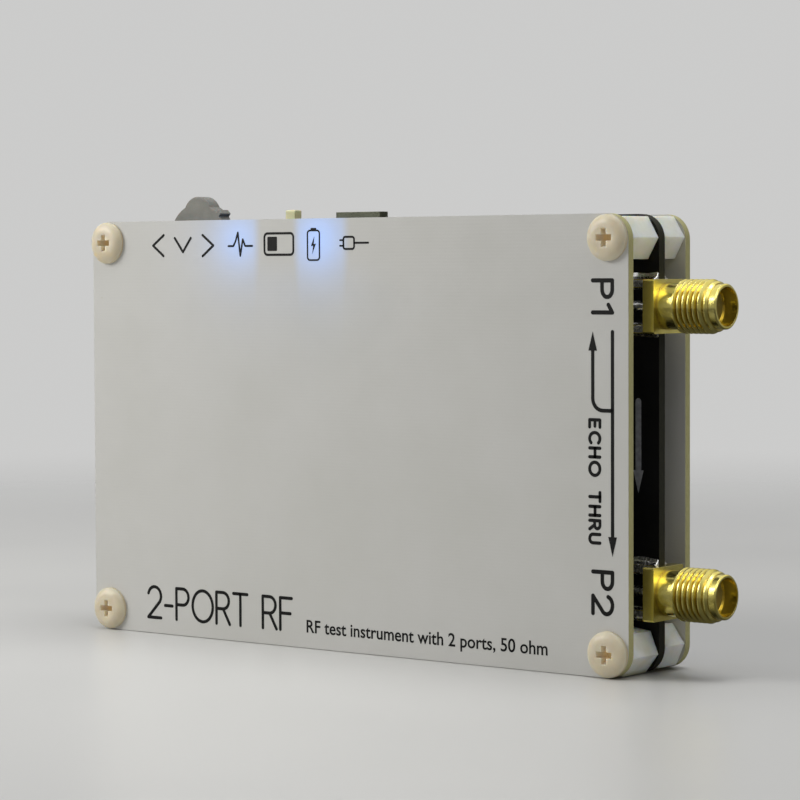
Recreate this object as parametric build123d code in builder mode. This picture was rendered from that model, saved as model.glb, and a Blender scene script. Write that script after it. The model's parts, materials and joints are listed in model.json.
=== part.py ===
"""Pocket two-port vector network analyser, modelled as the separate pieces it comes apart into.

The case is a sandwich of three equal boards: a plain back cover, the populated main board and a
front cover with a display window. Hexagonal nylon standoffs at the corners hold them apart, and
nylon screws close both sides. Two coaxial ports stand on the right edge. A jog lever, a slide
switch and a USB socket stand on the top edge.

Frame, in millimetres: X runs along the long edge towards the ports, Y runs from the back cover to
the display, and Z is up when the analyser stands on its long edge. The origin is on the standing
edge, under the middle of the board outline and halfway through the thickness.
"""

from build123d import *

import os
from math import cos, radians, sin

os.makedirs("parts", exist_ok=True)

# Boards and the stack they make
board_w = 85.5
board_h = 54.0
board_corner_r = 3.0
cover_t = 1.0
main_t = 1.2
rear_gap = 5.4
front_gap = 4.4
stack_t = 2 * cover_t + main_t + rear_gap + front_gap

back_outer = -stack_t / 2
back_inner = back_outer + cover_t
board_back = back_inner + rear_gap
board_front = board_back + main_t
front_inner = board_front + front_gap
front_outer = front_inner + cover_t
board_right = board_w / 2

# Corner hardware, M3 nylon
hole_inset = 2.8
clearance_r = 1.6
thread_r = 1.47
bore_r = 1.5
hex_across_flats = 5.0
hex_r = hex_across_flats / 2 / cos(radians(30))
hex_chamfer = 0.3
stud_reach = 2.6
head_r = 2.7
head_t = 1.05
front_head_r = 2.45
front_head_t = 1.0
head_rim_t = 0.45
head_flat_r = 1.35
recess_w = 0.72
recess_l = 2.2
recess_bottom_l = 1.1
recess_depth = 1.6
corner_x = board_w / 2 - hole_inset
low_z = hole_inset
high_z = board_h - hole_inset
corner_holes = [(-corner_x, low_z), (corner_x, low_z), (-corner_x, high_z), (corner_x, high_z)]

# Coaxial ports: 1/4-36 thread, edge mounted, axis just above the back face of the main board
port_z = {"port_1": 43.2, "port_2": 9.7}
port_y = board_back - 0.3
flange_w = 6.35
flange_t = 1.5
port_l = 9.5
neck_r = 2.7
thread_crest_r = 3.175
thread_root_r = 2.75
thread_lead_r = 2.95
thread_pitch = 25.4 / 36
thread_turns = 7
lip_l = 0.95
lip_r = 2.65
lip_bevel = 0.15
flange_overlap = 0.2
mouth_r = 2.3
mouth_depth = 1.9
insulator_r = 2.05
contact_r = 0.635
leg_w = 1.0
leg_l = 3.8

# USB Micro-B socket, its wide side away from the board
usb_x = -0.5
usb_w = 7.5
usb_narrow_w = 5.5
usb_t = 2.5
usb_side_t = 1.2
usb_corner_r = 0.35
usb_wall = 0.25
usb_low_z = 49.2
usb_high_z = 54.8

# Slide switch, drawn with its knob at the left end of the travel
switch_x = -10.7
switch_w = 8.6
switch_t = 3.6
switch_wall = 0.3
switch_low_z = 49.9
switch_high_z = 53.5
switch_y = board_back - switch_t / 2
knob_w = 1.5
knob_t = 1.3
knob_top_z = 55.2
knob_travel = 2.0
knob_x = switch_x - knob_travel / 2

# Jog lever: a rocking disc with a thumb dome, on a carrier that also pushes in
jog_x = -26.9
jog_pivot_z = 51.3
jog_half_w = 5.6
jog_low_z = 45.4
jog_wall_top_z = 52.2
jog_floor_t = 1.2
jog_floor_y = board_back - jog_floor_t
jog_cover_y = -3.5
lever_r = 4.98
lever_t = 2.0
lever_back_y = -1.4
lever_pin_r = 0.75
running_gap = 0.05
dome_r = 2.45
dome_centre = 3.4
jog_push_travel = 0.3

# Display module
display_x = -1.0
display_z = board_h / 2
display_w = 69.2
display_h = 50.0
tray_back = board_front + 0.4
tray_t = 2.8
tray_wall = 0.7
window_x = 1.2
window_w = 59.2
window_h = 44.6

# Battery
battery_x = -16.5
battery_z = 20.0
battery_w = 38.0
battery_h = 28.0
battery_t = 4.0
battery_pad_t = 0.2


def depth_plane(y):
    """Sketch plane at depth y. Sketch x is X, sketch y is Z, and extrusion runs towards the back cover."""
    return Plane.XZ.offset(-y)


def block(x, y, z, w, t, h, mode=Mode.ADD):
    """A box centred on x and z that runs from depth y towards the back cover by t."""
    with Locations((x, y - t / 2, z)):
        Box(w, t, h, mode=mode)


# ---------------------------------------------------------------- case boards


def draw_board():
    """Rounded board outline with its four corner holes, drawn in the open sketch."""
    with Locations((0, board_h / 2)):
        RectangleRounded(board_w, board_h, board_corner_r)
    with Locations(*corner_holes):
        Circle(clearance_r, mode=Mode.SUBTRACT)


with BuildPart() as back_cover:
    with BuildSketch(depth_plane(back_inner)):
        draw_board()
    extrude(amount=cover_t)
back_cover.part.label = "back_cover"
export_step(back_cover.part, "parts/back_cover.step")

with BuildPart() as front_cover:
    with BuildSketch(depth_plane(front_outer)):
        draw_board()
        with Locations((window_x, display_z)):
            RectangleRounded(window_w, window_h, 0.8, mode=Mode.SUBTRACT)
    extrude(amount=cover_t)
    chamfer(front_cover.faces().sort_by(Axis.Y)[-1].inner_wires().sort_by(SortBy.LENGTH)[-1].edges(), 0.3)
front_cover.part.label = "front_cover"
export_step(front_cover.part, "parts/front_cover.step")

stake_z = (50.2, 52.6)
usb_stakes = [(usb_x + side * (usb_w - usb_wall) / 2, z) for side in (-1, 1) for z in stake_z]
stake_h = 1.2
stake_slack = 0.3
switch_posts = [(switch_x - 2.2, 51.2), (switch_x + 2.2, 51.2)]
switch_post_r = 0.4

with BuildPart() as main_board:
    with BuildSketch(depth_plane(board_front)):
        draw_board()
        with Locations(*usb_stakes):
            Rectangle(usb_wall + stake_slack, stake_h + stake_slack, mode=Mode.SUBTRACT)
        with Locations(*switch_posts):
            Circle(switch_post_r + 0.05, mode=Mode.SUBTRACT)
    extrude(amount=main_t)
main_board.part.label = "main_board"
export_step(main_board.part, "parts/main_board.step")


# ---------------------------------------------------------------- corner hardware


def hex_column(x, z, y_front, length, turn):
    """One hexagonal nylon column from depth y_front towards the back cover, with eased ends."""
    with BuildSketch(depth_plane(y_front)) as outline:
        with Locations((x, z)):
            RegularPolygon(hex_r, 6, rotation=turn)
    extrude(outline.sketch, amount=length)


def round_bar(x, z, y_front, length, radius, mode=Mode.ADD):
    """A round bar or bore along Y, from depth y_front towards the back cover."""
    with BuildSketch(depth_plane(y_front)) as outline:
        with Locations((x, z)):
            Circle(radius)
    extrude(outline.sketch, amount=length, mode=mode)


rear_bore_depth = 4.2
rear_turns = (4, -8, -3, 0)
front_turns = (0, 6, -5, 2)

with BuildPart() as rear_standoffs:
    for (x, z), turn in zip(corner_holes, rear_turns):
        hex_column(x, z, board_back, rear_gap, turn)
    chamfer(rear_standoffs.faces().filter_by(Axis.Y).edges(), hex_chamfer)
    for x, z in corner_holes:
        round_bar(x, z, back_inner + rear_bore_depth, rear_bore_depth, bore_r, Mode.SUBTRACT)
        round_bar(x, z, board_front + stud_reach, main_t + stud_reach, thread_r)
rear_standoffs.part.label = "rear_standoffs"
export_step(rear_standoffs.part, "parts/rear_standoffs.step")

with BuildPart() as front_standoffs:
    for (x, z), turn in zip(corner_holes, front_turns):
        hex_column(x, z, front_inner, front_gap, turn)
    chamfer(front_standoffs.faces().filter_by(Axis.Y).edges(), hex_chamfer)
    for x, z in corner_holes:
        round_bar(x, z, front_inner, front_gap, bore_r, Mode.SUBTRACT)
front_standoffs.part.label = "front_standoffs"
export_step(front_standoffs.part, "parts/front_standoffs.step")


def cross_recess(x, z, top_y, outward):
    """Cuts a cross recess whose four wings run in towards the bottom."""
    for along in (Vector(1, 0, 0), Vector(0, 0, 1)):
        wing = Plane(origin=(x, top_y, z), x_dir=along, z_dir=along.cross(Vector(0, outward, 0)))
        mouth = recess_l / 2
        floor = recess_bottom_l / 2
        with BuildSketch(wing) as outline:
            with BuildLine():
                Polyline((-mouth, 0), (mouth, 0), (floor, -recess_depth), (-floor, -recess_depth), close=True)
            make_face()
        extrude(outline.sketch, amount=recess_w / 2, both=True, mode=Mode.SUBTRACT)


def cover_screws(label, face_y, outward, shank_l, radius, height):
    """Four pan-head cross-recess screws on one cover. outward is the sign of Y that the heads face."""
    tip_bevel = 0.2
    with BuildPart() as screws:
        for x, z in corner_holes:
            side = Plane(origin=(x, face_y, z), x_dir=(1, 0, 0), z_dir=(0, 0, outward))
            with BuildSketch(side):
                with BuildLine():
                    Polyline((0, height), (0, -shank_l), (thread_r - tip_bevel, -shank_l))
                    Line((thread_r - tip_bevel, -shank_l), (thread_r, tip_bevel - shank_l))
                    Polyline((thread_r, tip_bevel - shank_l), (thread_r, 0), (radius, 0), (radius, head_rim_t))
                    ThreePointArc((radius, head_rim_t), (0.83 * radius, 0.8 * height), (head_flat_r, height))
                    Line((head_flat_r, height), (0, height))
                make_face()
            revolve(axis=Axis((x, face_y, z), (0, 1, 0)))
            cross_recess(x, z, face_y + outward * height, outward)
    screws.part.label = label
    export_step(screws.part, f"parts/{label}.step")


cover_screws("back_screws", back_outer, -1, cover_t + 3.4, head_r, head_t)
cover_screws("front_screws", front_outer, 1, cover_t + 1.5, front_head_r, front_head_t)


# ---------------------------------------------------------------- coaxial ports


def barrel_profile():
    """Half section of the threaded barrel, as (distance from the board edge, radius). The last crest is lower."""
    thread_end = port_l - lip_l
    start = thread_end - thread_turns * thread_pitch
    flank = 0.4 * thread_pitch
    inside_flange = flange_t - flange_overlap
    points = [(inside_flange, 0), (inside_flange, neck_r), (start, neck_r), (start, thread_root_r)]
    for turn in range(thread_turns):
        at = start + turn * thread_pitch
        crest_r = thread_lead_r if turn == thread_turns - 1 else thread_crest_r
        points += [(at + flank, crest_r), (at + thread_pitch - flank, crest_r)]
        points += [(at + thread_pitch, thread_root_r)]
    points += [(thread_end, lip_r), (port_l - lip_bevel, lip_r), (port_l, lip_r - lip_bevel), (port_l, 0)]
    return points


def port_shell(label):
    """One gold-plated body: square flange, threaded barrel, stepped bore and four soldering legs."""
    z = port_z[label]
    with BuildPart() as shell:
        with Locations((board_right + flange_t / 2, port_y, z)):
            Box(flange_t, flange_w, flange_w)
        chamfer(shell.edges().filter_by(Axis.X), 0.2)
        with BuildSketch(Plane(origin=(board_right, port_y, z), x_dir=(1, 0, 0), z_dir=(0, -1, 0))):
            with BuildLine():
                Polyline(*barrel_profile(), close=True)
            make_face()
        revolve(axis=Axis((board_right, port_y, z), (1, 0, 0)))
        leg_z = (flange_w - leg_w) / 2
        for leg_y in (board_back, board_front + leg_w):
            for side in (-1, 1):
                block(board_right - leg_l / 2, leg_y, z + side * leg_z, leg_l, leg_w, leg_w)
        with BuildSketch(Plane(origin=(board_right, port_y, z), z_dir=(1, 0, 0))):
            Circle(insulator_r)
        extrude(amount=port_l, mode=Mode.SUBTRACT)
        with BuildSketch(Plane(origin=(board_right + port_l, port_y, z), z_dir=(-1, 0, 0))):
            Circle(mouth_r)
        extrude(amount=mouth_depth, mode=Mode.SUBTRACT)
    shell.part.label = f"{label}_shell"
    export_step(shell.part, f"parts/{shell.part.label}.step")


for port_name in port_z:
    port_shell(port_name)

insulator_l = port_l - mouth_depth
socket_r = 0.47
socket_depth = 2.9
tine_slot = 0.15
tine_depth = 1.8
tail_r = 0.29
tail_l = 3.9

with BuildPart() as port_insulators:
    for z in port_z.values():
        with BuildSketch(Plane(origin=(board_right, port_y, z), z_dir=(1, 0, 0))):
            Circle(insulator_r)
            Circle(contact_r, mode=Mode.SUBTRACT)
        extrude(amount=insulator_l)
port_insulators.part.label = "port_insulators"
export_step(port_insulators.part, "parts/port_insulators.step")

with BuildPart() as port_contacts:
    for z in port_z.values():
        with BuildSketch(Plane(origin=(board_right, port_y, z), z_dir=(1, 0, 0))):
            Circle(contact_r)
        extrude(amount=insulator_l)
        with BuildSketch(Plane(origin=(board_right, port_y, z), z_dir=(-1, 0, 0))):
            Circle(tail_r)
        extrude(amount=tail_l)
        with BuildSketch(Plane(origin=(board_right + insulator_l, port_y, z), z_dir=(-1, 0, 0))):
            Circle(socket_r)
        extrude(amount=socket_depth, mode=Mode.SUBTRACT)
        with Locations((board_right + insulator_l - tine_depth / 2, port_y, z)):
            Box(tine_depth, 2 * contact_r, tine_slot, mode=Mode.SUBTRACT)
            Box(tine_depth, tine_slot, 2 * contact_r, mode=Mode.SUBTRACT)
port_contacts.part.label = "port_contacts"
export_step(port_contacts.part, "parts/port_contacts.step")


def solder_fillet(x_end, length, y, z, reach, rise, side, outward):
    """One hollow solder fillet along X: it rises on a leg's side wall and runs out on the board."""
    corner = Plane(origin=(x_end, y, z), x_dir=(0, 0, side), z_dir=(-1, 0, 0))
    up = 1 if corner.y_dir.Y * outward > 0 else -1
    with BuildSketch(corner) as section:
        with BuildLine():
            Line((0, 0), (reach, 0))
            Line((0, 0), (0, up * rise))
            ThreePointArc((reach, 0), (0.4 * reach, up * 0.4 * rise), (0, up * rise))
        make_face()
    extrude(section.sketch, amount=length)


outer_reach = 0.9
outer_rise = 0.85
inner_reach = 0.5
inner_rise = 0.7

with BuildPart() as port_solder:
    leg_half = leg_w / 2
    for z in port_z.values():
        for face_y, outward in ((board_back, -1), (board_front, 1)):
            for side in (-1, 1):
                leg_z = z + side * (flange_w - leg_w) / 2
                outer_z = leg_z + side * leg_half
                inner_z = leg_z - side * leg_half
                solder_fillet(board_right, leg_l, face_y, outer_z, outer_reach, outer_rise, side, outward)
                solder_fillet(board_right, leg_l, face_y, inner_z, inner_reach, inner_rise, -side, outward)
port_solder.part.label = "port_solder"
export_step(port_solder.part, "parts/port_solder.step")


# ---------------------------------------------------------------- USB socket

usb_back_y = board_back - usb_t
usb_side_y = usb_back_y + usb_side_t
usb_half_outline = [(usb_w / 2, usb_back_y), (usb_w / 2, usb_side_y), (usb_narrow_w / 2, board_back)]
usb_mirrored_outline = [(-x, y) for x, y in reversed(usb_half_outline)]
usb_mouth = [(usb_x + x, y) for x, y in usb_half_outline + usb_mirrored_outline]

with BuildSketch(Plane.XY.offset(usb_low_z)) as usb_outline:
    Polygon(*usb_mouth, align=None)
    fillet(usb_outline.vertices(), usb_corner_r)

with BuildSketch(Plane.XY.offset(usb_low_z)) as usb_opening:
    Polygon(*usb_mouth, align=None)
    fillet(usb_opening.vertices(), usb_corner_r)
    offset(amount=-usb_wall, mode=Mode.REPLACE)

with BuildPart() as usb_shell:
    extrude(usb_outline.sketch, amount=usb_high_z - usb_low_z)
    for x, z in usb_stakes:
        block(x, board_back + 0.9, z, usb_wall, 2.2, stake_h)
    extrude(usb_opening.sketch, amount=usb_high_z - usb_low_z, mode=Mode.SUBTRACT)
usb_shell.part.label = "usb_shell"
export_step(usb_shell.part, "parts/usb_shell.step")

tongue_w = 4.4
tongue_t = 0.65
tongue_y = board_back - 1.475
tongue_base_h = 1.6
tongue_top_z = 54.0
with BuildPart() as usb_tongue:
    extrude(usb_opening.sketch, amount=tongue_base_h)
    with BuildSketch(Plane.XY.offset(usb_low_z)):
        with Locations((usb_x, tongue_y)):
            Rectangle(tongue_w, tongue_t)
    extrude(amount=tongue_top_z - usb_low_z)
    chamfer(usb_tongue.faces().sort_by(Axis.Z)[-1].edges(), 0.15)
usb_tongue.part.label = "usb_tongue"
export_step(usb_tongue.part, "parts/usb_tongue.step")

contact_pitch = 0.65
contact_w = 0.25
strip_t = 0.04
strip_h = 2.8
tail_h = 0.9
with BuildPart() as usb_contacts:
    for column in range(-2, 3):
        x = usb_x + column * contact_pitch
        block(x, tongue_y + tongue_t / 2 + strip_t, 52.3, contact_w, strip_t, strip_h)
        block(x, board_back, usb_low_z - tail_h / 2, contact_w, 0.15, tail_h)
usb_contacts.part.label = "usb_contacts"
export_step(usb_contacts.part, "parts/usb_contacts.step")


# ---------------------------------------------------------------- slide switch

inner_w = switch_w - 2 * switch_wall
inner_t = switch_t - 2 * switch_wall
inner_top_z = switch_high_z - switch_wall
switch_base_h = 1.0
slot_slack = 0.15
with BuildPart() as power_switch_can:
    with Locations((switch_x, switch_y, (switch_low_z + switch_high_z) / 2)):
        Box(switch_w, switch_t, switch_high_z - switch_low_z)
    fillet(power_switch_can.edges().filter_by(Axis.Y).group_by(Axis.Z)[-1], 0.25)
    with Locations((switch_x, switch_y, (switch_low_z + inner_top_z) / 2)):
        Box(inner_w, inner_t, inner_top_z - switch_low_z, mode=Mode.SUBTRACT)
    with Locations((switch_x, switch_y, switch_high_z)):
        slot_w = knob_w + knob_travel + 2 * slot_slack
        Box(slot_w, knob_t + 2 * slot_slack, 1.0, mode=Mode.SUBTRACT)
    for x, z in switch_posts:
        round_bar(x, z, board_back + main_t - 0.2, main_t - 0.2, switch_post_r)
power_switch_can.part.label = "power_switch_can"
export_step(power_switch_can.part, "parts/power_switch_can.step")

with BuildPart() as power_switch_base:
    with Locations((switch_x, switch_y, switch_low_z + switch_base_h / 2)):
        Box(inner_w, inner_t, switch_base_h)
    for column in (-1, 0, 1):
        block(switch_x + 2.5 * column, switch_y + 0.25, switch_low_z + 0.5, 0.8, 0.5, 1.0, Mode.SUBTRACT)
power_switch_base.part.label = "power_switch_base"
export_step(power_switch_base.part, "parts/power_switch_base.step")

with BuildPart() as power_switch_terminals:
    for column in (-1, 0, 1):
        x = switch_x + 2.5 * column
        block(x, switch_y + 0.25, switch_low_z + 0.1, 0.7, 0.5, 2.2)
        block(x, board_back, switch_low_z - 0.7, 0.7, board_back - switch_y + 0.25, 0.6)
power_switch_terminals.part.label = "power_switch_terminals"
export_step(power_switch_terminals.part, "parts/power_switch_terminals.step")

slider_w = 3.4
slider_low_z = 51.9
with BuildPart() as power_slider:
    with Locations((knob_x, switch_y, (slider_low_z + inner_top_z - 0.1) / 2)):
        Box(slider_w, inner_t - 0.2, inner_top_z - 0.1 - slider_low_z)
    with BuildSketch(Plane.XY.offset(slider_low_z)):
        with Locations((knob_x, switch_y)):
            Rectangle(knob_w, knob_t)
    extrude(amount=knob_top_z - slider_low_z)
    fillet(power_slider.faces().sort_by(Axis.Z)[-1].edges(), 0.2)
power_slider.part.label = "power_slider"
export_step(power_slider.part, "parts/power_slider.step")

wiper_t = 0.14
with BuildPart() as power_wiper:
    with BuildSketch(Plane(origin=(knob_x, switch_y + 0.5, 0), x_dir=(1, 0, 0), z_dir=(0, -1, 0))):
        with BuildLine():
            crests = [(-1.5, 0.02), (-0.8, 0.6), (0, 0.05), (0.8, 0.6), (1.5, 0.02)]
            upper = [(x, slider_low_z - drop) for x, drop in crests]
            lower = [(x, z - wiper_t) for x, z in reversed(upper)]
            Polyline(*upper, *lower, close=True)
        make_face()
    extrude(amount=1.0)
power_wiper.part.label = "power_wiper"
export_step(power_wiper.part, "parts/power_wiper.step")


# ---------------------------------------------------------------- jog lever switch

pocket_half_w = 2.6
pocket_low_z = 47.5
pocket_top_z = 52.5
pocket_depth = 0.7
side_wall_in = 5.1
base_top_z = 53.2
with BuildPart() as jog_base:
    block(jog_x, board_back, (jog_low_z + base_top_z) / 2, 2 * jog_half_w, jog_floor_t, base_top_z - jog_low_z)
    pocket_z = (pocket_low_z + pocket_top_z) / 2
    pocket_h = pocket_top_z - pocket_low_z
    pocket_y = jog_floor_y + pocket_depth
    block(jog_x, pocket_y, pocket_z, 2 * pocket_half_w, pocket_depth, pocket_h, Mode.SUBTRACT)
    wall_t = jog_floor_y - jog_cover_y
    wall_w = jog_half_w - side_wall_in
    for side in (-1, 1):
        wall_x = jog_x + side * (side_wall_in + wall_w / 2)
        block(wall_x, jog_floor_y, (jog_low_z + jog_wall_top_z) / 2, wall_w, wall_t, jog_wall_top_z - jog_low_z)
    block(jog_x, jog_floor_y, jog_low_z + 0.4, 2 * side_wall_in, wall_t, 0.8)
jog_base.part.label = "jog_base"
export_step(jog_base.part, "parts/jog_base.step")

sheet_t = 0.25
with BuildPart() as jog_cover:
    cover_z = (jog_low_z + jog_wall_top_z) / 2
    cover_h = jog_wall_top_z - jog_low_z
    block(jog_x, jog_cover_y, cover_z, 2 * (jog_half_w + sheet_t), sheet_t, cover_h)
    for side in (-1, 1):
        flap_x = jog_x + side * (jog_half_w + sheet_t / 2)
        block(flap_x, board_back - 0.05, cover_z, sheet_t, board_back - 0.05 - jog_cover_y, cover_h - 2.4)
    fillet(jog_cover.edges().filter_by(Axis.Z).group_by(Axis.Y)[0], 0.2)
jog_cover.part.label = "jog_cover"
export_step(jog_cover.part, "parts/jog_cover.step")

carrier_low_z = 48.3
carrier_top_z = 52.4
carrier_half_w = 2.5
with BuildPart() as jog_carrier:
    carrier_t = pocket_depth - 0.04
    carrier_z = (carrier_low_z + carrier_top_z) / 2
    carrier_h = carrier_top_z - carrier_low_z
    block(jog_x, jog_floor_y + carrier_t, carrier_z, 2 * carrier_half_w, carrier_t, carrier_h)
    round_bar(jog_x, jog_pivot_z, jog_floor_y, jog_floor_y - jog_cover_y - 0.05, lever_pin_r)
jog_carrier.part.label = "jog_carrier"
export_step(jog_carrier.part, "parts/jog_carrier.step")

nib_angle = 45
with BuildPart() as jog_lever:
    with BuildSketch(Plane(origin=(jog_x, lever_back_y, jog_pivot_z), x_dir=(1, 0, 0), z_dir=(0, -1, 0))) as lever:
        Circle(lever_r)
        with Locations((0, -0.8 + lever_r)):
            Rectangle(4 * lever_r, 2 * lever_r, mode=Mode.INTERSECT)
        with Locations((0, dome_centre)):
            Circle(dome_r)
        nib_r = lever_r + 0.1
        with Locations((nib_r * sin(radians(nib_angle)), nib_r * cos(radians(nib_angle)))):
            Rectangle(0.8, 0.8, rotation=-nib_angle)
        Circle(1.7)
        with Locations((0, -2.0)):
            Rectangle(1.0, 3.2)
        fillet(lever.vertices(), 0.15)
        Circle(lever_pin_r + running_gap, mode=Mode.SUBTRACT)
    extrude(amount=lever_t)
    back_rim, front_rim = [side.outer_wire() for side in jog_lever.faces().filter_by(Axis.Y)]
    chamfer(back_rim.edges() + front_rim.edges(), 0.1)
jog_lever.part.label = "jog_lever"
export_step(jog_lever.part, "parts/jog_lever.step")

spring_wire_r = 0.15
spring_half_w = 0.75
spring_arc_z = 47.15
spring_top_z = 48.9
with BuildPart() as jog_spring:
    with BuildLine(Plane(origin=(jog_x, -2.4, 0), x_dir=(1, 0, 0), z_dir=(0, -1, 0))) as hairpin:
        Line((-spring_half_w, spring_top_z), (-spring_half_w, spring_arc_z))
        ThreePointArc((-spring_half_w, spring_arc_z), (0, spring_arc_z - spring_half_w), (spring_half_w, spring_arc_z))
        Line((spring_half_w, spring_arc_z), (spring_half_w, spring_top_z))
    with BuildSketch(Plane.XY.offset(spring_top_z)):
        with Locations((jog_x - spring_half_w, -2.4)):
            Circle(spring_wire_r)
    sweep(path=hairpin.wires()[0])
jog_spring.part.label = "jog_spring"
export_step(jog_spring.part, "parts/jog_spring.step")

click_half_w = 1.9
click_foot_w = 0.15
click_leaf_t = 0.1
click_gap = 0.03
click_leaf_w = 0.5
click_foot_z = pocket_low_z + click_gap
click_crown_z = carrier_low_z - click_gap
with BuildPart() as jog_click_spring:
    with BuildSketch(Plane(origin=(jog_x, jog_floor_y + 0.6, 0), x_dir=(1, 0, 0), z_dir=(0, -1, 0))):
        with BuildLine():
            inner = click_half_w - click_foot_w
            ThreePointArc((-click_half_w, click_foot_z), (0, click_crown_z), (click_half_w, click_foot_z))
            Line((click_half_w, click_foot_z), (inner, click_foot_z))
            ThreePointArc((inner, click_foot_z), (0, click_crown_z - click_leaf_t), (-inner, click_foot_z))
            Line((-inner, click_foot_z), (-click_half_w, click_foot_z))
        make_face()
    extrude(amount=click_leaf_w)
jog_click_spring.part.label = "jog_click_spring"
export_step(jog_click_spring.part, "parts/jog_click_spring.step")


# ---------------------------------------------------------------- chips on the main board


def chip(x, z, w, h, t):
    """One moulded package that stands 0.1 off the back face of the board."""
    block(x, board_back - 0.1, z, w, t, h)


def leads(x, z, body_w, count, pitch, reach, along_x):
    """Gull-wing leads on two opposite sides of a package, each a foot and a shoulder."""
    for side in (-1, 1):
        for index in range(count):
            slide = (index - (count - 1) / 2) * pitch
            foot = side * (body_w / 2 + reach / 2)
            shoulder = side * (body_w / 2 + 0.12)
            width = 0.45 * pitch
            if along_x:
                block(x + slide, board_back, z + foot, width, 0.15, reach)
                block(x + slide, board_back - 0.15, z + shoulder, width, 0.6, 0.24)
            else:
                block(x + foot, board_back, z + slide, reach, 0.15, width)
                block(x + shoulder, board_back - 0.15, z + slide, 0.24, 0.6, width)


mcu_x, mcu_z = -28, 40
mcu_w = 7
fine_pitch = 0.5
with BuildPart() as microcontroller:
    chip(mcu_x, mcu_z, mcu_w, mcu_w, 1.4)
    for along_x in (True, False):
        leads(mcu_x, mcu_z, mcu_w, 12, fine_pitch, 1.0, along_x)
microcontroller.part.label = "microcontroller"
export_step(microcontroller.part, "parts/microcontroller.step")

codec_x, codec_z = -14.5, 40.5
codec_w = 5
codec_t = 0.9
with BuildPart() as audio_codec:
    block(codec_x, board_back, codec_z, codec_w, codec_t, codec_w)
audio_codec.part.label = "audio_codec"
export_step(audio_codec.part, "parts/audio_codec.step")

clock_x, clock_z = 8, 41.6
clock_w = 3
with BuildPart() as clock_generator:
    chip(clock_x, clock_z, clock_w, clock_w, 0.95)
    leads(clock_x, clock_z, clock_w, 5, fine_pitch, 0.95, True)
clock_generator.part.label = "clock_generator"
export_step(clock_generator.part, "parts/clock_generator.step")

mixer_places = [(21, 34), (29, 34), (21, 14)]
mixer_w, mixer_h = 4.9, 3.9
mixer_pitch = 1.27
with BuildPart() as mixers:
    for x, z in mixer_places:
        chip(x, z, mixer_w, mixer_h, 1.5)
        leads(x, z, mixer_h, 4, mixer_pitch, 1.05, True)
mixers.part.label = "mixers"
export_step(mixers.part, "parts/mixers.step")

power_chip_places = [(-3, 42), (-6.5, 37.5)]
power_chip_w, power_chip_h = 2.9, 1.6
power_chip_pitch = 0.95
with BuildPart() as power_chips:
    for x, z in power_chip_places:
        chip(x, z, power_chip_w, power_chip_h, 1.1)
        leads(x, z, power_chip_h, 3, power_chip_pitch, 0.6, True)
power_chips.part.label = "power_chips"
export_step(power_chips.part, "parts/power_chips.step")

inductor_x, inductor_z = 1.5, 38.2
inductor_w = 4
inductor_t = 1.8
with BuildPart() as power_inductor:
    block(inductor_x, board_back, inductor_z, inductor_w, inductor_t, inductor_w)
    fillet(power_inductor.edges().filter_by(Axis.Y), 0.8)
power_inductor.part.label = "power_inductor"
export_step(power_inductor.part, "parts/power_inductor.step")

crystal_places = [(7, 46.2), (-20.5, 41)]
crystal_w, crystal_h = 3.2, 2.5
crystal_t = 0.85
with BuildPart() as crystals:
    for x, z in crystal_places:
        block(x, board_back, z, crystal_w, crystal_t, crystal_h)
    fillet(crystals.edges().filter_by(Axis.Y), 0.3)
crystals.part.label = "crystals"
export_step(crystals.part, "parts/crystals.step")

led_z = 50.6
for led_name, led_x in (("status_led", -16.75), ("charge_led", -5.1)):
    with BuildPart() as led:
        block(led_x, board_back, led_z, 0.8, 0.3, 1.6)
        block(led_x, board_back - 0.3, led_z, 0.78, 0.35, 1.0)
    led.part.label = led_name
    export_step(led.part, f"parts/{led_name}.step")

chip_rows = [(-21.5, 36.2, 4, 2), (-9.5, 42.5, 2, 3), (6.5, 34.8, 2, 3), (14.5, 47.5, 5, 2), (25, 47.5, 5, 2)]
chip_w = 1.0
chip_h = 0.5
row_pitch_x = 1.8
row_pitch_z = 1.3


def passive_parts(label, shift, thickness):
    """A node of small two-terminal chips: every second place of each row, starting at shift."""
    with BuildPart() as passives:
        for row_x, row_z, columns, rows in chip_rows:
            for column in range(columns):
                for row in range(rows):
                    if (column + row) % 2 == shift:
                        x = row_x + column * row_pitch_x
                        block(x, board_back, row_z + row * row_pitch_z, chip_w, thickness, chip_h)
    passives.part.label = label
    export_step(passives.part, f"parts/{label}.step")


passive_parts("chip_resistors", 0, 0.35)
passive_parts("chip_capacitors", 1, 0.5)

shields = [(23.5, 34.5, 25, 11.5), (23.5, 14.5, 25, 17)]
shield_t = 2.3
shield_wall = 0.2
with BuildPart() as shield_frames:
    for x, z, w, h in shields:
        block(x, board_back, z, w - 0.5, shield_t - 0.3, h - 0.5)
        block(x, board_back, z, w - 0.5 - 2 * shield_wall, shield_t - 0.3, h - 0.5 - 2 * shield_wall, Mode.SUBTRACT)
shield_frames.part.label = "shield_frames"
export_step(shield_frames.part, "parts/shield_frames.step")

with BuildPart() as shield_lids:
    for x, z, w, h in shields:
        block(x, board_back - 0.6, z, w, shield_t - 0.6, h)
    fillet(shield_lids.faces().filter_by(Axis.Y).group_by(Axis.Y)[0].edges(), 0.18)
    for x, z, w, h in shields:
        inner_t_lid = shield_t - 0.6 - shield_wall
        block(x, board_back - 0.6, z, w - 2 * shield_wall, inner_t_lid, h - 2 * shield_wall, Mode.SUBTRACT)
shield_lids.part.label = "shield_lids"
export_step(shield_lids.part, "parts/shield_lids.step")


# ---------------------------------------------------------------- battery

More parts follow.
